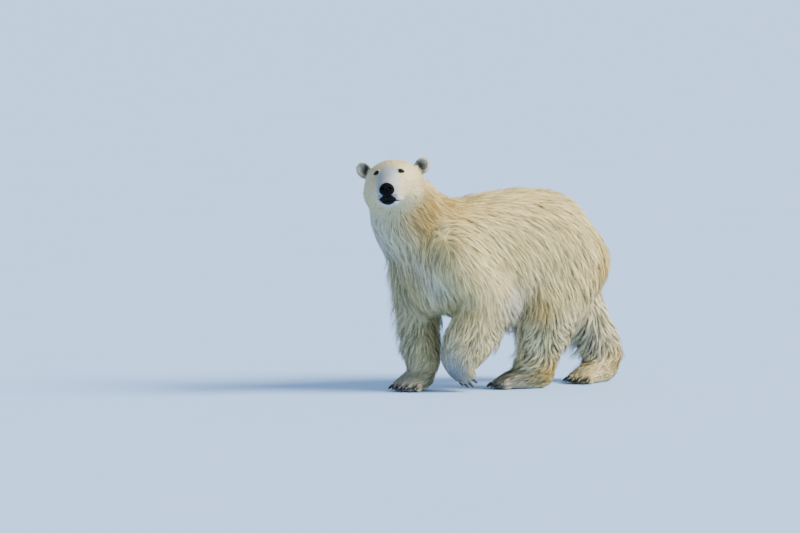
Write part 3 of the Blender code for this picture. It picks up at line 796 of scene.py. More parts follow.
# %% [markdown]
# ## Roots for the tufts
#
# Where tufts are long and broad, few cover the skin, and where they are short and fine, many are
# needed. So the number on each triangle follows from its area and from the size of the tufts
# there. Roots are dealt out evenly along the list of triangles, which leaves fewer gaps than
# picking each one by chance.

# %% Deal out the roots
TUFTS = 297000
NOSE_CLEAR = (0.044, 0.040, 0.039)  # half sizes of the room that the nose needs
rng = np.random.default_rng(7)
corners = np.empty(len(skin_mesh.polygons) * 3, np.int32)
skin_mesh.polygons.foreach_get("vertices", corners)
corners = corners.reshape(-1, 3)
sides = skin[corners[:, 1]] - skin[corners[:, 0]], skin[corners[:, 2]] - skin[corners[:, 0]]
area = np.linalg.norm(np.cross(*sides), axis=1) / 2
covered = 1 - np.clip(bare * 1.4, 0, 1)
nose_reach = np.linalg.norm((place - np.array(NOSE_PLACE)) / np.array(NOSE_CLEAR), axis=1)
covered = covered * soft_step(0.95, 1.08, nose_reach) * soft_step(1.80, 2.05, opening)
covered = covered * (1 - 0.9 * sole)
per_area = covered * cover / (length * width)
share = area * per_area[corners].mean(1)
print("tufts wanted for full cover:", round(share.sum() * 2))
steps = (np.arange(TUFTS) + rng.random(TUFTS)) / TUFTS
triangle = np.searchsorted(np.cumsum(share) / share.sum(), steps)
triangle = np.minimum(triangle, len(corners) - 1)
first = np.sqrt(rng.random(TUFTS))
second = rng.random(TUFTS)
weights = np.stack([1 - first, first * (1 - second), first * second], axis=1)
root_corners = corners[triangle]


def at_roots(values):
    """A measure of the skin, blended from the corners of each root's triangle."""
    if values.ndim == 1:
        return (values[root_corners] * weights).sum(1)
    return (values[root_corners] * weights[:, :, None]).sum(1)


root = at_roots(skin)
root_normal = unit(at_roots(skin_normals))
root_length = at_roots(length)
root_width = at_roots(width)
root_stand = at_roots(stand)
root_kind = kind[root_corners[:, 0]]


def by_root(values):
    """A value of each kind at the roots, which changes gently from one kind to the next."""
    return at_roots(spread(by_kind(values), ROUNDS["kind"]))


print(TUFTS, "roots")

# %% [markdown]
# ## Locks
#
# Hairs of a real coat cling together in locks, whose tips meet in a point and leave a dark gap
# beside them. A few roots are picked as the middles of locks, and every other root joins the
# lock that is nearest. A few small locks are thin and coloured dark, as painted shade for those
# gaps, and others lie on top of the rest, where more of their length is seen, and are coloured a
# little lighter as a painted highlight. Both break up the coat, which would look combed otherwise.

# %% Gather the roots into locks
SMALL_LOCK = 1.5  # against the usual number of tufts
ON_TOP = 1.9  # locks on top, against the dark thin ones
ON_TOP_LENGTH = 1.35
lock_roots = np.nonzero(rng.random(TUFTS) < 1 / by_root(LOCK))[0]
LOCKS = len(lock_roots)
lock_tree = tree_of(root[lock_roots])
lock = np.array([lock_tree.find(point)[1] for point in root])
lock_length = root_length[lock_roots]
lock_shade_lines = by_root(SHADE_LINES)[lock_roots]
drawn = rng.random(LOCKS)
is_small = np.bincount(lock, minlength=LOCKS) < SMALL_LOCK * by_root(LOCK)[lock_roots]
is_shade_line = (drawn < lock_shade_lines) & is_small
on_top = drawn < ON_TOP * lock_shade_lines
lock_length = np.where(on_top, lock_length * ON_TOP_LENGTH, lock_length)
print(LOCKS, "locks,", is_shade_line.sum(), "of them dark and", on_top.sum(), "on top")

# %% [markdown]
# ## A path for each lock
#
# Each lock gets one path, which is walked over the skin in a few steps along the lie of the
# coat, so it bends round the body without leaving it. Every tuft of the lock later follows this
# path and draws in towards it at its tip. Walking a path for each tuft would cost far more time.

# %% Walk the paths
PATH_STEPS = 5
SWERVE = 0.13  # how far the locks differ in direction
skin_tree = tree_of(skin)


def walk(start, reach, swerve):
    """Paths over the skin: their points, and the skin's normal, lie and depth at each."""
    at = start.copy()
    points, normals, ways, depths = [], [], [], []
    for _ in range(PATH_STEPS + 1):
        near = np.array([skin_tree.find(point)[1] for point in at])
        normal = skin_normals[near]
        at = at - normal * ((at - skin[near]) * normal).sum(1)[:, None]
        direction = flat_on(way[near] + swerve, normal)
        points.append(at)
        normals.append(normal)
        ways.append(direction)
        depths.append(depth[near])
        at = at + direction * (reach / PATH_STEPS)[:, None]
    return [np.stack(rows) for rows in (points, normals, ways, depths)]


lock_swerve = rng.normal(0, SWERVE, (LOCKS, 3))
path, path_normal, path_way, path_depth = walk(root[lock_roots], lock_length, lock_swerve)
path_side = np.cross(path_way, path_normal)
print("longest path", round(np.linalg.norm(path[-1] - path[0], axis=1).max(), 3))

# %% [markdown]
# ## How the locks differ
#
# No two locks are alike: each has its own shade, rises a little more or less than its
# neighbours, and waves in its own way. Where the fringes are, one lock in three stands far off
# the body, and the others stay down, so that gaps are left between the spikes.

# %% Shade, lift and stand of each lock
STANDING_SHARE = 0.34
STANDS_FROM = 0.3  # a lock with at least this much stand is drawn together like one on top
restless = 1 - at_roots(calm)
lock_contrast = (by_root(CONTRAST) * restless)[lock_roots]
lock_shade = 1 - lock_contrast * rng.random(LOCKS) ** 2
# painted highlight: locks on top are coloured a little lighter
lock_shade = np.where(on_top, rng.uniform(1.00, 1.05, LOCKS), lock_shade)
# painted shade: dark thin locks stand for the shaded gaps between locks
shade_line_tone = rng.uniform(0.36, 0.64, LOCKS) * (1 - 0.5 * lock_contrast)
shade_line_tone = mix(1, shade_line_tone, restless[lock_roots])
lock_shade = np.where(is_shade_line, shade_line_tone, lock_shade)
lock_lift = rng.uniform(0.72, 1.00, LOCKS)
lock_lift = np.where(on_top, rng.uniform(1.00, 1.10, LOCKS), lock_lift)
stands = rng.random(LOCKS) < STANDING_SHARE
lock_stand = np.where(stands, rng.uniform(0.5, 1.0, LOCKS), rng.uniform(0, 0.1, LOCKS))
lock_stand = lock_stand * root_stand[lock_roots]
lock_wave = rng.uniform(0, 2 * math.pi, LOCKS)
print((lock_stand > STANDS_FROM).sum(), "locks stand off the body")

# %% [markdown]
# ## Tufts
#
# A tuft is a narrow blade of two folded quads and a point, seven corners in all. It rises from
# the skin to the outline of the coat, steeply at first and then flattening, as fur does. Locks
# on top rise fastest, and locks that stand keep on rising to their tips. Blades cost far fewer
# faces than round hairs, and at a millimetre or two of width they look the same. One tuft in
# five is the shorter wool that shows between the locks, and its colour is darker as painted
# shade in those gaps.

# %% How each tuft differs
WOOL_SHARE = 0.22
WOOL_SIZE = 0.62  # against the long hair
WOOL_CLING = 0.3
TOP_CLING = 0.88
SPLAY = 0.035  # of its length, to each side
ROLL = 0.45
tuft_on_top = on_top[lock] | (lock_stand[lock] > STANDS_FROM)
tuft_share = rng.uniform(0.72, 1.0, TUFTS)
is_wool = rng.random(TUFTS) < WOOL_SHARE
tuft_share = np.where(is_wool, tuft_share * WOOL_SIZE, tuft_share)
tuft_lift = lock_lift[lock] * rng.uniform(0.88, 1.12, TUFTS)
tuft_lift = np.where(is_wool, tuft_lift * WOOL_SIZE, tuft_lift)
cling = by_root(CLING)
loose_cling = np.where(is_wool, cling * WOOL_CLING, cling)
cling = np.where(tuft_on_top, np.maximum(cling, TOP_CLING), loose_cling)
cling_power = np.where(tuft_on_top, 0.6, 1.2)  # low where tufts draw together from the root on
rise_power = np.where(tuft_on_top, 3.4, 1.6)
# painted shade: wool that shows between the locks is coloured darker
tuft_light = lock_shade[lock] * np.where(is_wool & ~tuft_on_top, 1 - by_root(GAP_SHADE) * restless, 1)
tuft_splay = rng.normal(0, SPLAY, TUFTS) * root_length
tuft_roll = rng.normal(0, ROLL, TUFTS)
tuft_shade = rng.random(TUFTS)
print(is_wool.sum(), "tufts of wool,", tuft_on_top.sum(), "tufts on top")

# %% Shape the tufts
STATIONS = np.array((0.0, 0.36, 0.72, 1.0))  # along a blade
BLADE = np.array((0.80, 1.0, 0.72, 0.0))  # share of the full width at each station
STAND_RISE = 0.66  # of its length, where a lock stands
WAVE = 0.018  # of its length to each side
LOWEST_HAIR = 0.0012  # above the floor
offset = root - path[0][lock]
along = (offset * path_way[0][lock]).sum(1)
aside = (offset * path_side[0][lock]).sum(1)
above = (offset * path_normal[0][lock]).sum(1)


def on_path(rows, share):
    """The value of each tuft's path at a share of its length."""
    spot = np.clip(share, 0, 1) * PATH_STEPS
    low = np.minimum(spot.astype(int), PATH_STEPS - 1)
    part = spot - low
    if rows.ndim == 3:
        part = part[:, None]
    return rows[low, lock] * (1 - part) + rows[low + 1, lock] * part


centres, sides_out, normals_out = [], [], []
for t in STATIONS:
    u = t * tuft_share
    normal = unit(on_path(path_normal, u))
    direction = unit(on_path(path_way, u))
    side = np.cross(direction, normal)
    curve = mix(1 - (1 - t) ** rise_power, t ** 1.3, np.minimum(lock_stand[lock], 1))
    rise = on_path(path_depth, u) * tuft_lift + STAND_RISE * lock_stand[lock] * root_length
    rise = rise * curve
    wave = np.sin(lock_wave[lock] + 3.4 * t) * WAVE * root_length * t
    sideways = aside * (1 - cling * t ** cling_power) + tuft_splay * t + wave
    centre = on_path(path, u) + direction * (along * (1 - 0.3 * t))[:, None]
    centre = centre + side * sideways[:, None] + normal * (above * (1 - t) + rise)[:, None]
    centre[:, 2] = np.maximum(centre[:, 2], LOWEST_HAIR)
    centres.append(centre)
    sides_out.append(unit(side * np.cos(tuft_roll)[:, None] + normal * np.sin(tuft_roll)[:, None]))
    normals_out.append(normal)
print("tufts reach", np.max(centres, axis=(0, 1)).round(3), np.min(centres, axis=(0, 1)).round(3))

# %% [markdown]
# ## The blades' corners
#
# Every blade has two corners at each of three stations and one at its tip. Its normals lean to
# its two sides, so that it catches light as a round tuft would, though it's flat. Each corner
# also carries what its colour needs, which is how far along the tuft it is, how bright its lock
# is, and the markings at its root.

# %% Corners, normals and colour measures
LEAN = 0.55  # of the normals to the sides
FLECK_SHARE = 0.10  # of the tufts under the eyes and on the bridge of the nose
FLECK_DARK = 0.85


def blade_arrays():
    """The seven corners of every blade and the normals there."""
    points, normals = [], []
    for share, centre, side, normal in zip(BLADE[:3], centres, sides_out, normals_out):
        half = side * (root_width * share / 2)[:, None]
        points += [centre - half, centre + half]
        normals += [unit(normal - side * LEAN), unit(normal + side * LEAN)]
    return np.stack(points + [centres[3]], axis=1), np.stack(normals + [normals_out[3]], axis=1)


blade_points, blade_normals = blade_arrays()
root_soft = by_root(SOFT_ROOT)
root_head = in_head(root)
root_x, root_z = root_head[:, 0], root_head[:, 2]
under_eye = hill((np.abs(root_x) - 0.072) / 0.030, 1) * hill((root_z - 0.012) / 0.020, 1)
bridge = hill(root_x / 0.026, 1) * hill((root_z - 0.012) / 0.026, 1)
flecked = rng.random(TUFTS) < FLECK_SHARE * np.maximum(under_eye, bridge)
flecked = flecked & (root_kind == KINDS.index("head"))
root_dark = np.where(flecked, FLECK_DARK, at_roots(dark))
AT_BLADES = {"lock": tuft_light, "strand": tuft_shade, "stain": at_roots(stain),
             "pale_shade_blue": at_roots(pale_shade_blue), "dark": root_dark}
print("blades have", blade_points.shape[0] * blade_points.shape[1], "corners")

# %% [markdown]
# ## Pieces of the coat
#
# The tufts are gathered in pieces by the part of the bear that they grow on, so each can be
# shown or hidden by itself, and none gets too heavy. Each piece also has a flat map of its
# tufts, laid out as the six sides of a box, for anyone who bakes its colours.

# %% Make one piece
UV_PATCH = 0.003  # width of a tuft on the map
UV_MARGIN = 0.02
CORNERS = 7
BLADE_LOOPS = np.array((0, 1, 3, 2, 2, 3, 5, 4, 4, 5, 6))  # two quads and a triangle
FACE_STARTS = np.array((0, 4, 8))
BLADE_MAP = np.array(((-1, -1), (1, -1), (-1, -0.28), (1, -0.28), (-1, 0.44), (1, 0.44), (0, 1)))


def cube_unwrap(points, normals, low, high):
    """Places on the six sides of a box round the points, laid out three by two."""
    axis = np.argmax(np.abs(normals), axis=1)
    facing = normals[np.arange(len(points)), axis] > 0
    inside = (points - low) / (high - low)
    u = np.where(axis == 0, inside[:, 1], inside[:, 0])
    v = np.where(axis == 2, inside[:, 1], inside[:, 2])
    spot = np.stack([u, v], axis=1) * (1 - 2 * UV_MARGIN) + UV_MARGIN
    return (spot + np.stack([axis, facing.astype(int)], axis=1)) / np.array((3, 2))


def coat_piece(name, chosen):
    """One object with the chosen tufts."""
    count = len(chosen)
    first = np.arange(count)[:, None]
    loops = (first * CORNERS + BLADE_LOOPS).astype(np.int32)
    starts = (first * len(BLADE_LOOPS) + FACE_STARTS).astype(np.int32)
    mesh = bpy.data.meshes.new(name)
    mesh.vertices.add(count * CORNERS)
    mesh.loops.add(loops.size)
    mesh.polygons.add(starts.size)
    mesh.vertices.foreach_set("co", blade_points[chosen].astype(np.float32).ravel())
    mesh.loops.foreach_set("vertex_index", loops.ravel())
    mesh.polygons.foreach_set("loop_start", starts.ravel())
    mesh.update(calc_edges=True)
    mesh.polygons.foreach_set("use_smooth", np.ones(starts.size, bool))
    soft = root_soft[chosen][:, None]
    keep_measures(mesh, {"tip": (soft + (1 - soft) * np.repeat(STATIONS, 2)[:CORNERS]).ravel()})
    keep_measures(mesh, {measure: np.repeat(values[chosen], CORNERS)
                         for measure, values in AT_BLADES.items()})
    low, high = root[chosen].min(0), root[chosen].max(0)
    spot = cube_unwrap(root[chosen], root_normal[chosen], low, high)
    corners_uv = spot[:, None, :] + BLADE_MAP * UV_PATCH / 2
    layer = mesh.uv_layers.new(name="OFBake")
    layer.data.foreach_set("uv", corners_uv[:, BLADE_LOOPS].astype(np.float32).ravel())
    mesh.normals_split_custom_set_from_vertices(blade_normals[chosen].reshape(-1, 3))
    return new_piece(name, mesh)


print("a tuft has", len(FACE_STARTS), "faces and", CORNERS, "corners")

# %% Share the tufts out
COAT_PIECES = []
placed = np.zeros(TUFTS, bool)
is_left = root[:, 0] > -0.02


def of(*kinds):
    """Which tufts grow on one of the kinds."""
    return np.isin(root_kind, [KINDS.index(word) for word in kinds])


def grown_on(name, wanted):
    """Makes a piece of the wanted tufts that no piece has yet."""
    chosen = np.nonzero(wanted & ~placed)[0]
    placed[chosen] = True
    COAT_PIECES.append(coat_piece(name, chosen))
    print(name, len(chosen), "tufts")


grown_on("coat_face", of("head") & (root_head[:, 1] < -0.10))
grown_on("coat_head", of("head"))
grown_on("coat_ears", of("ear"))
grown_on("coat_neck", of("neck"))
grown_on("coat_back", of("trunk") & (root_normal[:, 2] > 0.6))
grown_on("coat_belly", of("trunk") & (root_normal[:, 2] < -0.45))
grown_on("coat_left_side", of("trunk") & (root_normal[:, 0] > 0))
grown_on("coat_right_side", of("trunk"))
grown_on("coat_tail", of("tail"))
for leg_pair, kinds in {"fore": ("upper_arm", "forearm"), "hind": ("thigh", "shank")}.items():
    grown_on(f"coat_{leg_pair}_left", of(*kinds) & is_left)
    grown_on(f"coat_{leg_pair}_right", of(*kinds))
grown_on("coat_fore_paws", of("paw") & (root[:, 1] < -0.05))
grown_on("coat_hind_paws", of("paw"))
print(placed.sum(), "tufts in", len(COAT_PIECES), "pieces")

# %% [markdown]
# ## Colours of the coat
#
# A polar bear's hairs are clear and look white together, and oil and dirt turn them cream or
# yellow. Skin and tufts share one node group for their colour, so the same stain shows on both.
# It takes the masks as inputs and mixes cream, straw and pale hair by them, with the pale tinted
# the blue of sky-lit shade as painted shade, then lets each lock and each tuft differ a little,
# darkens the roots as painted shade, where little light gets in, and mixes dark hair and painted
# shade towards near black.

# %% The group for the coat's tint
CREAM = (0.96, 0.83, 0.42, 1)
STRAW = (0.61, 0.41, 0.09, 1)
# pale hair, tinted the blue of sky-lit shade as painted shade
PALE_SHADE_BLUE = (0.68, 0.75, 0.83, 1)
# painted shade at the roots of the hair
ROOT_SHADE = (0.33, 0.26, 0.12, 1)
# near black, for dark hair and for the darkest painted shade
DARK = (0.028, 0.025, 0.020, 1)
NOISE_DETAIL = 3.0
NOISE_ROUGHNESS = 0.55
TINT_INPUTS = {"Stain": 0.2, "Pale_shade_blue": 0.0, "Dark": 0.0, "Tip": 0.3, "Lock": 0.5, "Strand": 0.5}


def feed(tree, socket, value):
    """Links a socket to another socket, or sets it to a fixed value."""
    if isinstance(value, bpy.types.NodeSocket):
        tree.links.new(value, socket)
    else:
        socket.default_value = value


def colour_mix(tree, share, first, second, blend="MIX"):
    """A Mix node for colours. Each of the three is a socket or a fixed value."""
    node = tree.nodes.new("ShaderNodeMix")
    node.data_type = "RGBA"
    node.blend_type = blend
    feed(tree, node.inputs[0], share)
    feed(tree, node.inputs[6], first)
    feed(tree, node.inputs[7], second)
    return node.outputs[2]


def ramp(tree, value, low, high, to_low=0.0, to_high=1.0):
    """A value carried from one range to another, and held at its ends."""
    node = tree.nodes.new("ShaderNodeMapRange")
    tree.links.new(value, node.inputs["Value"])
    ends = {"From Min": low, "From Max": high, "To Min": to_low, "To Max": to_high}
    for label, number in ends.items():
        node.inputs[label].default_value = number
    return node.outputs["Result"]


def added(tree, first, second):
    """The sum of two values."""
    node = tree.nodes.new("ShaderNodeMath")
    node.operation = "ADD"
    feed(tree, node.inputs[0], first)
    feed(tree, node.inputs[1], second)
    return node.outputs[0]


def noise(tree, scale, stretch=None):
    """Noise over the object's own space, with its scale along each axis changed by stretch."""
    texture = tree.nodes.new("ShaderNodeTexNoise")
    texture.inputs["Scale"].default_value = scale
    texture.inputs["Detail"].default_value = NOISE_DETAIL
    texture.inputs["Roughness"].default_value = NOISE_ROUGHNESS
    places = tree.nodes.new("ShaderNodeTexCoord")
    source = places.outputs["Object"]
    if stretch:
        mapping = tree.nodes.new("ShaderNodeMapping")
        mapping.inputs["Scale"].default_value = stretch
        tree.links.new(source, mapping.inputs["Vector"])
        source = mapping.outputs["Vector"]
    tree.links.new(source, texture.inputs["Vector"])
    return texture.outputs["Fac"]


def coat_tint_group():
    """The coat's colour, from cream to straw with its stain, paler with a painted sky-lit blue,
    darker at its roots as painted shade, and near black with dark hair and painted shade.
    """
    group = bpy.data.node_groups.new("coat tint", "ShaderNodeTree")
    for label, value in TINT_INPUTS.items():
        socket = group.interface.new_socket(label, in_out="INPUT", socket_type="NodeSocketFloat")
        socket.default_value = value
    group.interface.new_socket("Color", in_out="OUTPUT", socket_type="NodeSocketColor")
    given = group.nodes.new("NodeGroupInput")
    result = group.nodes.new("NodeGroupOutput")
    patches = ramp(group, noise(group, 5.0), 0.35, 0.65, -0.14, 0.14)
    stained = added(group, given.outputs["Stain"], patches)
    stained = added(group, stained, ramp(group, given.outputs["Lock"], 0.4, 1, 0.12, 0.0))
    stained = ramp(group, stained, 0.0, 1.0)
    colour = colour_mix(group, stained, CREAM, STRAW)
    # pale hair with its painted sky-lit blue
    colour = colour_mix(group, given.outputs["Pale_shade_blue"], colour, PALE_SHADE_BLUE)
    # painted shade: a few tufts are darker, as thin lines of shade between hairs
    shade_strands = ramp(group, given.outputs["Strand"], 0.0, 0.14, -0.34, 0.0)
    others = ramp(group, given.outputs["Strand"], 0.14, 1.0, -0.05, 0.07)
    light = added(group, given.outputs["Lock"], added(group, shade_strands, others))
    # painted shade: each tuft's colour is darker towards its root
    root_shade_share = ramp(group, given.outputs["Tip"], 0.0, 0.55, 0.75, 0.0)
    colour = colour_mix(group, root_shade_share, colour, ROOT_SHADE)
    as_grey = group.nodes.new("ShaderNodeCombineColor")
    for socket in as_grey.inputs:
        group.links.new(light, socket)
    colour = colour_mix(group, 1.0, colour, as_grey.outputs[0], "MULTIPLY")
    colour = colour_mix(group, given.outputs["Dark"], colour, DARK)
    group.links.new(colour, result.inputs["Color"])
    return group


COAT_TINT = coat_tint_group()
print("coat tint takes", [item.name for item in COAT_TINT.interface.items_tree])

# %% [markdown]
# ## Materials of the coat and the skin
#
# Hair is rough, and it glows a little as light passes through it, which a small sheen shows. The
# skin takes the same tint as the middle of a tuft, since it looks like more hair where it shows.
# A bump of fine streaks breaks it up, and its bare parts are black and a little moist.

# %% Coat and skin materials
def new_material(name, **sockets):
    """A material with its node tree, and a Principled BSDF with the given socket values."""
    material = bpy.data.materials.new(name)
    material.use_nodes = True
    tree = material.node_tree
    shader = tree.nodes["Principled BSDF"]
    for label, value in sockets.items():
        shader.inputs[label.replace("_", " ")].default_value = value
    return material, tree, shader


def grey(level):
    """A colour without a hue, as bright as the level."""
    return (level, level, level, 1)


def attribute(tree, name):
    """A measure that the mesh keeps, by its name."""
    node = tree.nodes.new("ShaderNodeAttribute")
    node.attribute_name = name
    return node.outputs["Fac"]


def bump(tree, shader, strength, distance, height_socket):
    """Makes the shader's surface rise and fall with a height."""
    node = tree.nodes.new("ShaderNodeBump")
    node.inputs["Strength"].default_value = strength
    node.inputs["Distance"].default_value = distance
    tree.links.new(height_socket, node.inputs["Height"])
    tree.links.new(node.outputs["Normal"], shader.inputs["Normal"])


def tinted(tree, **fixed):
    """Places the coat's tint, fed by the piece's own measures or by fixed values."""
    node = tree.nodes.new("ShaderNodeGroup")
    node.node_tree = COAT_TINT
    for label in TINT_INPUTS:
        value = fixed[label] if label in fixed else attribute(tree, label.lower())
        feed(tree, node.inputs[label], value)
    return node.outputs["Color"]


def coat_material():
    """Rough hair with a little sheen."""
    material, tree, shader = new_material("fur", Roughness=0.62, Sheen_Weight=0.12,
                                          Sheen_Roughness=0.5, Specular_IOR_Level=0.35)
    tree.links.new(tinted(tree), shader.inputs["Base Color"])
    return material


def skin_material():
    """The hair's tint, and black where the skin is bare."""
    material, tree, shader = new_material("skin", Specular_IOR_Level=0.12)
    coat = tinted(tree, Tip=0.50, Lock=0.95, Strand=0.5)
    bare_mask = attribute(tree, "bare")
    black = colour_mix(tree, noise(tree, 220.0), grey(0.001), grey(0.004))
    tree.links.new(colour_mix(tree, bare_mask, coat, black), shader.inputs["Base Color"])
    tree.links.new(ramp(tree, bare_mask, 0, 1, 0.85, 0.55), shader.inputs["Roughness"])
    bump(tree, shader, 0.5, 0.002, noise(tree, 90.0, stretch=(4, 1, 4)))
    return material


FUR = coat_material()
for piece in COAT_PIECES:
    piece.data.materials.append(FUR)
print("fur on", len(COAT_PIECES), "pieces")

# %% Dress the skin
keep_measures(skin_mesh, {"stain": stain, "pale_shade_blue": pale_shade_blue, "bare": bare, "dark": dark})
skin_mesh.polygons.foreach_set("use_smooth", np.ones(len(skin_mesh.polygons), bool))
skin_piece = new_piece("skin", skin_mesh)
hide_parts(*FLESH)
skin_mesh.materials.clear()
skin_mesh.materials.append(skin_material())
print("skin:", len(skin_mesh.polygons), "triangles")

# %% [markdown]
# ## Eyes and claws
#
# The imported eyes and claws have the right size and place, so they stay. A weld closes the seams
# between their facets and a subdivision rounds them, and each gets a finish of its own: a wet,
# almost black eye, and dark horn that is streaked along the claw.

# %% Finish the eyes and claws
CLAW_SWELL = 0.0038  # claws look thin beside the fur, so they are thickened all round
ROUND_LEVELS = 2


def rounded(obj, thicker):
    """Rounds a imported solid, and makes it thicker where that is asked for."""
    weld = obj.modifiers.new("weld", "WELD")
    weld.merge_threshold = 2e-5
    if thicker:
        swell = obj.modifiers.new("swell", "DISPLACE")
        swell.strength = thicker
        swell.mid_level = 0
    soft = obj.modifiers.new("round", "SUBSURF")
    soft.levels = ROUND_LEVELS
    soft.render_levels = ROUND_LEVELS
    for polygon in obj.data.polygons:
        polygon.use_smooth = True


def eye_material():
    """Nearly black and wet."""
    material, tree, shader = new_material("eye", Roughness=0.08, Specular_IOR_Level=0.12,
                                          Coat_Weight=0.12, Coat_Roughness=0.05)
    iris = colour_mix(tree, ramp(tree, noise(tree, 160.0), 0.4, 0.6),
                      (0.004, 0.003, 0.002, 1), (0.016, 0.009, 0.005, 1))
    tree.links.new(iris, shader.inputs["Base Color"])
    return material


def claw_material():
    """Dark horn with streaks along it."""
    material, tree, shader = new_material("horn", Roughness=0.34, Specular_IOR_Level=0.5)
    streaks = ramp(tree, noise(tree, 160.0, stretch=(3, 0.6, 0.6)), 0.38, 0.66)
    horn = colour_mix(tree, streaks, (0.006, 0.005, 0.005, 1), (0.035, 0.029, 0.025, 1))
    tree.links.new(horn, shader.inputs["Base Color"])
    bump(tree, shader, 0.25, 0.001, streaks)
    return material


EYE_FINISH = eye_material()
HORN = claw_material()
FINISHES = {"eye_": (EYE_FINISH, 0.0), "claw_": (HORN, CLAW_SWELL)}
for start, (finish, thicker) in FINISHES.items():
    chosen = [obj for name, obj in NODES.items() if name.startswith(start)]
    for obj in chosen:
        rounded(obj, thicker)
        obj.data.materials.clear()
        obj.data.materials.append(finish)
    print(len(chosen), "nodes start with", start)

# %% [markdown]
# ## The nose
#
# A bear's nose is a pad of bare, pebbled skin, round above and full below, with a groove down
# its middle and two nostrils that open to the sides in a comma. It could be sculpted by hand,
# but a ball of many faces that is flattened and pressed in by a few formulas stays symmetric.

# %% Model the nose
NOSE_SIZE = np.array((0.043, 0.030, 0.039))  # half width, depth and height
NOSE_TILT = math.radians(-14)
GROOVE_DEPTH = 0.0050
NOSTRIL_DEPTH = 0.0150
WING_SWELL = 0.0022


def nose_mesh():
    """A ball that is flattened, and pressed in at its groove and its nostrils."""
    mesh = bpy.data.meshes.new("nose_pad")
    ball = bmesh.new()
    bmesh.ops.create_icosphere(ball, subdivisions=6, radius=1.0)
    ball.to_mesh(mesh)
    ball.free()
    x, y, z = mesh_points(mesh).T
    front = soft_step(0.3, -0.5, y)
    fuller_below = 1 + 0.12 * hill(z + 0.65, 0.40)
    shaped = np.stack([x * fuller_below, y, z * (1 - 0.10 * np.abs(x))], axis=1) * NOSE_SIZE
    groove = hill(x, 0.07) * soft_step(0.25, -0.25, z) * front
    shaped[:, 1] += GROOVE_DEPTH * groove
    for side in (-1, 1):
        nostril = np.hypot((x - side * 0.46) / 0.24, (z + 0.02 + 0.10 * (x * side - 0.46)) / 0.22)
        comma = np.hypot((x - side * 0.76) / 0.30, (z + 0.16) / 0.10)
        pit = np.maximum(soft_step(1.15, 0.55, nostril), 0.75 * soft_step(1.2, 0.5, comma))
        wing = hill(nostril - 1.35, 0.35) * (1 - pit)
        shaped[:, 1] += front * (NOSTRIL_DEPTH * pit - WING_SWELL * wing)
    tilt_back = np.array(Matrix.Rotation(NOSE_TILT, 3, "X"))
    shaped = shaped @ tilt_back.T + np.array(NOSE_PLACE)
    in_bear = shaped @ np.array(HEAD_AXES).T + np.array(HEAD_AT)
    mesh.vertices.foreach_set("co", in_bear.astype(np.float32).ravel())
    mesh.update()
    mesh.polygons.foreach_set("use_smooth", np.ones(len(mesh.polygons), bool))
    return mesh


def nose_material():
    """Black skin with pebbles, a little shinier on each."""
    material, tree, shader = new_material("nose_skin", Specular_IOR_Level=0.07)
    black = colour_mix(tree, noise(tree, 120.0), grey(0.001), grey(0.003))
    tree.links.new(black, shader.inputs["Base Color"])
    pebbles = tree.nodes.new("ShaderNodeTexVoronoi")
    pebbles.inputs["Scale"].default_value = 420.0
    places = tree.nodes.new("ShaderNodeTexCoord")
    tree.links.new(places.outputs["Object"], pebbles.inputs["Vector"])
    roughness = ramp(tree, pebbles.outputs["Distance"], 0, 0.6, 0.40, 0.60)
    tree.links.new(roughness, shader.inputs["Roughness"])
    bump(tree, shader, 0.35, 0.0012, pebbles.outputs["Distance"])
    return material


nose_piece = new_piece("nose_pad", nose_mesh())
nose_piece.data.materials.append(nose_material())
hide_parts("nose")
print("nose:", len(nose_piece.data.polygons), "triangles")

# %% [markdown]
# ## Floor, light and camera
#
# The bear stands on a wide, pale blue floor. A broad soft sun above and to one side models the
# form, and an even pale sky fills the shadows. The camera stands far off with a long lens, only
# a little above the bear, and looks at it from its left front.

# %% Floor
FLOOR_RADIUS = 900.0
FLOOR_COLOURS = ((0.38, 0.60, 0.99, 1), (0.42, 0.63, 1.00, 1))


def floor_material():
    """Pale blue in soft, wide patches."""
    material, tree, shader = new_material("floor", Roughness=0.7)
    blue = colour_mix(tree, noise(tree, 0.8), *FLOOR_COLOURS)
    tree.links.new(blue, shader.inputs["Base Color"])
    return material


floor_mesh = bpy.data.meshes.new("floor")
disc = bmesh.new()
bmesh.ops.create_circle(disc, cap_ends=True, segments=96, radius=FLOOR_RADIUS)
disc.to_mesh(floor_mesh)
disc.free()
floor = linked("floor", floor_mesh)
floor_mesh.materials.append(floor_material())
print("floor of radius", FLOOR_RADIUS)

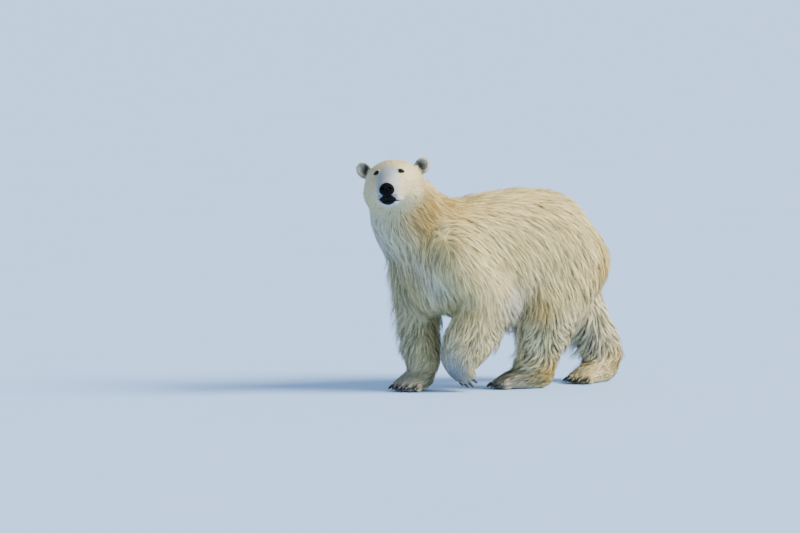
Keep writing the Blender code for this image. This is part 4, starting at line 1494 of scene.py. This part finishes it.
# %% Light
KEY_STRENGTH = 8.8
KEY_ANGLE = math.radians(30)
KEY_COLOUR = (1.0, 0.92, 0.77)
SKY_COLOUR = (0.60, 0.78, 1.0, 1)
SKY_STRENGTH = 0.84
VIEW_TURN = math.radians(60)
VIEW_RISE = math.radians(5)
VIEW_BACK = Vector((math.sin(VIEW_TURN) * math.cos(VIEW_RISE),
                    -math.cos(VIEW_TURN) * math.cos(VIEW_RISE), math.sin(VIEW_RISE)))
VIEW_RIGHT = Vector((math.cos(VIEW_TURN), math.sin(VIEW_TURN), 0))
VIEW_UP = VIEW_BACK.cross(VIEW_RIGHT)
KEY_SOURCE = VIEW_RIGHT * 0.92 + VIEW_BACK * 0.24 + Vector((0, 0, 0.68))
sun = bpy.data.lights.new("key", "SUN")
sun.energy = KEY_STRENGTH
sun.angle = KEY_ANGLE
sun.color = KEY_COLOUR
linked("key", sun).rotation_euler = KEY_SOURCE.to_track_quat("Z", "Y").to_euler()
world = bpy.data.worlds.new("sky")
world.use_nodes = True
sky = world.node_tree.nodes["Background"]
sky.inputs["Color"].default_value = SKY_COLOUR
sky.inputs["Strength"].default_value = SKY_STRENGTH
bpy.context.scene.world = world
print("light from", [round(x, 2) for x in KEY_SOURCE])

# %% Camera
CAMERA_FAR = 30.0
LENS_MM = 232.2
SENSOR_MM = 36
SEEN_TO = 3000.0
GROUND_POINT = Vector((-0.0241, 0.0448, 0.0))
AIM_LEFT = 0.581
AIM_UP = 0.706
AIM = GROUND_POINT - VIEW_RIGHT * AIM_LEFT + VIEW_UP * AIM_UP
lens = bpy.data.cameras.new("camera")
lens.sensor_width = SENSOR_MM
lens.lens = LENS_MM
lens.clip_end = SEEN_TO
camera = linked("camera", lens)
camera.location = GROUND_POINT + VIEW_BACK * CAMERA_FAR
camera.rotation_euler = (AIM - camera.location).to_track_quat("-Z", "Y").to_euler()
bpy.context.scene.camera = camera
print("camera at", [round(x, 2) for x in camera.location])

# %% The end
bpy.context.view_layer.update()
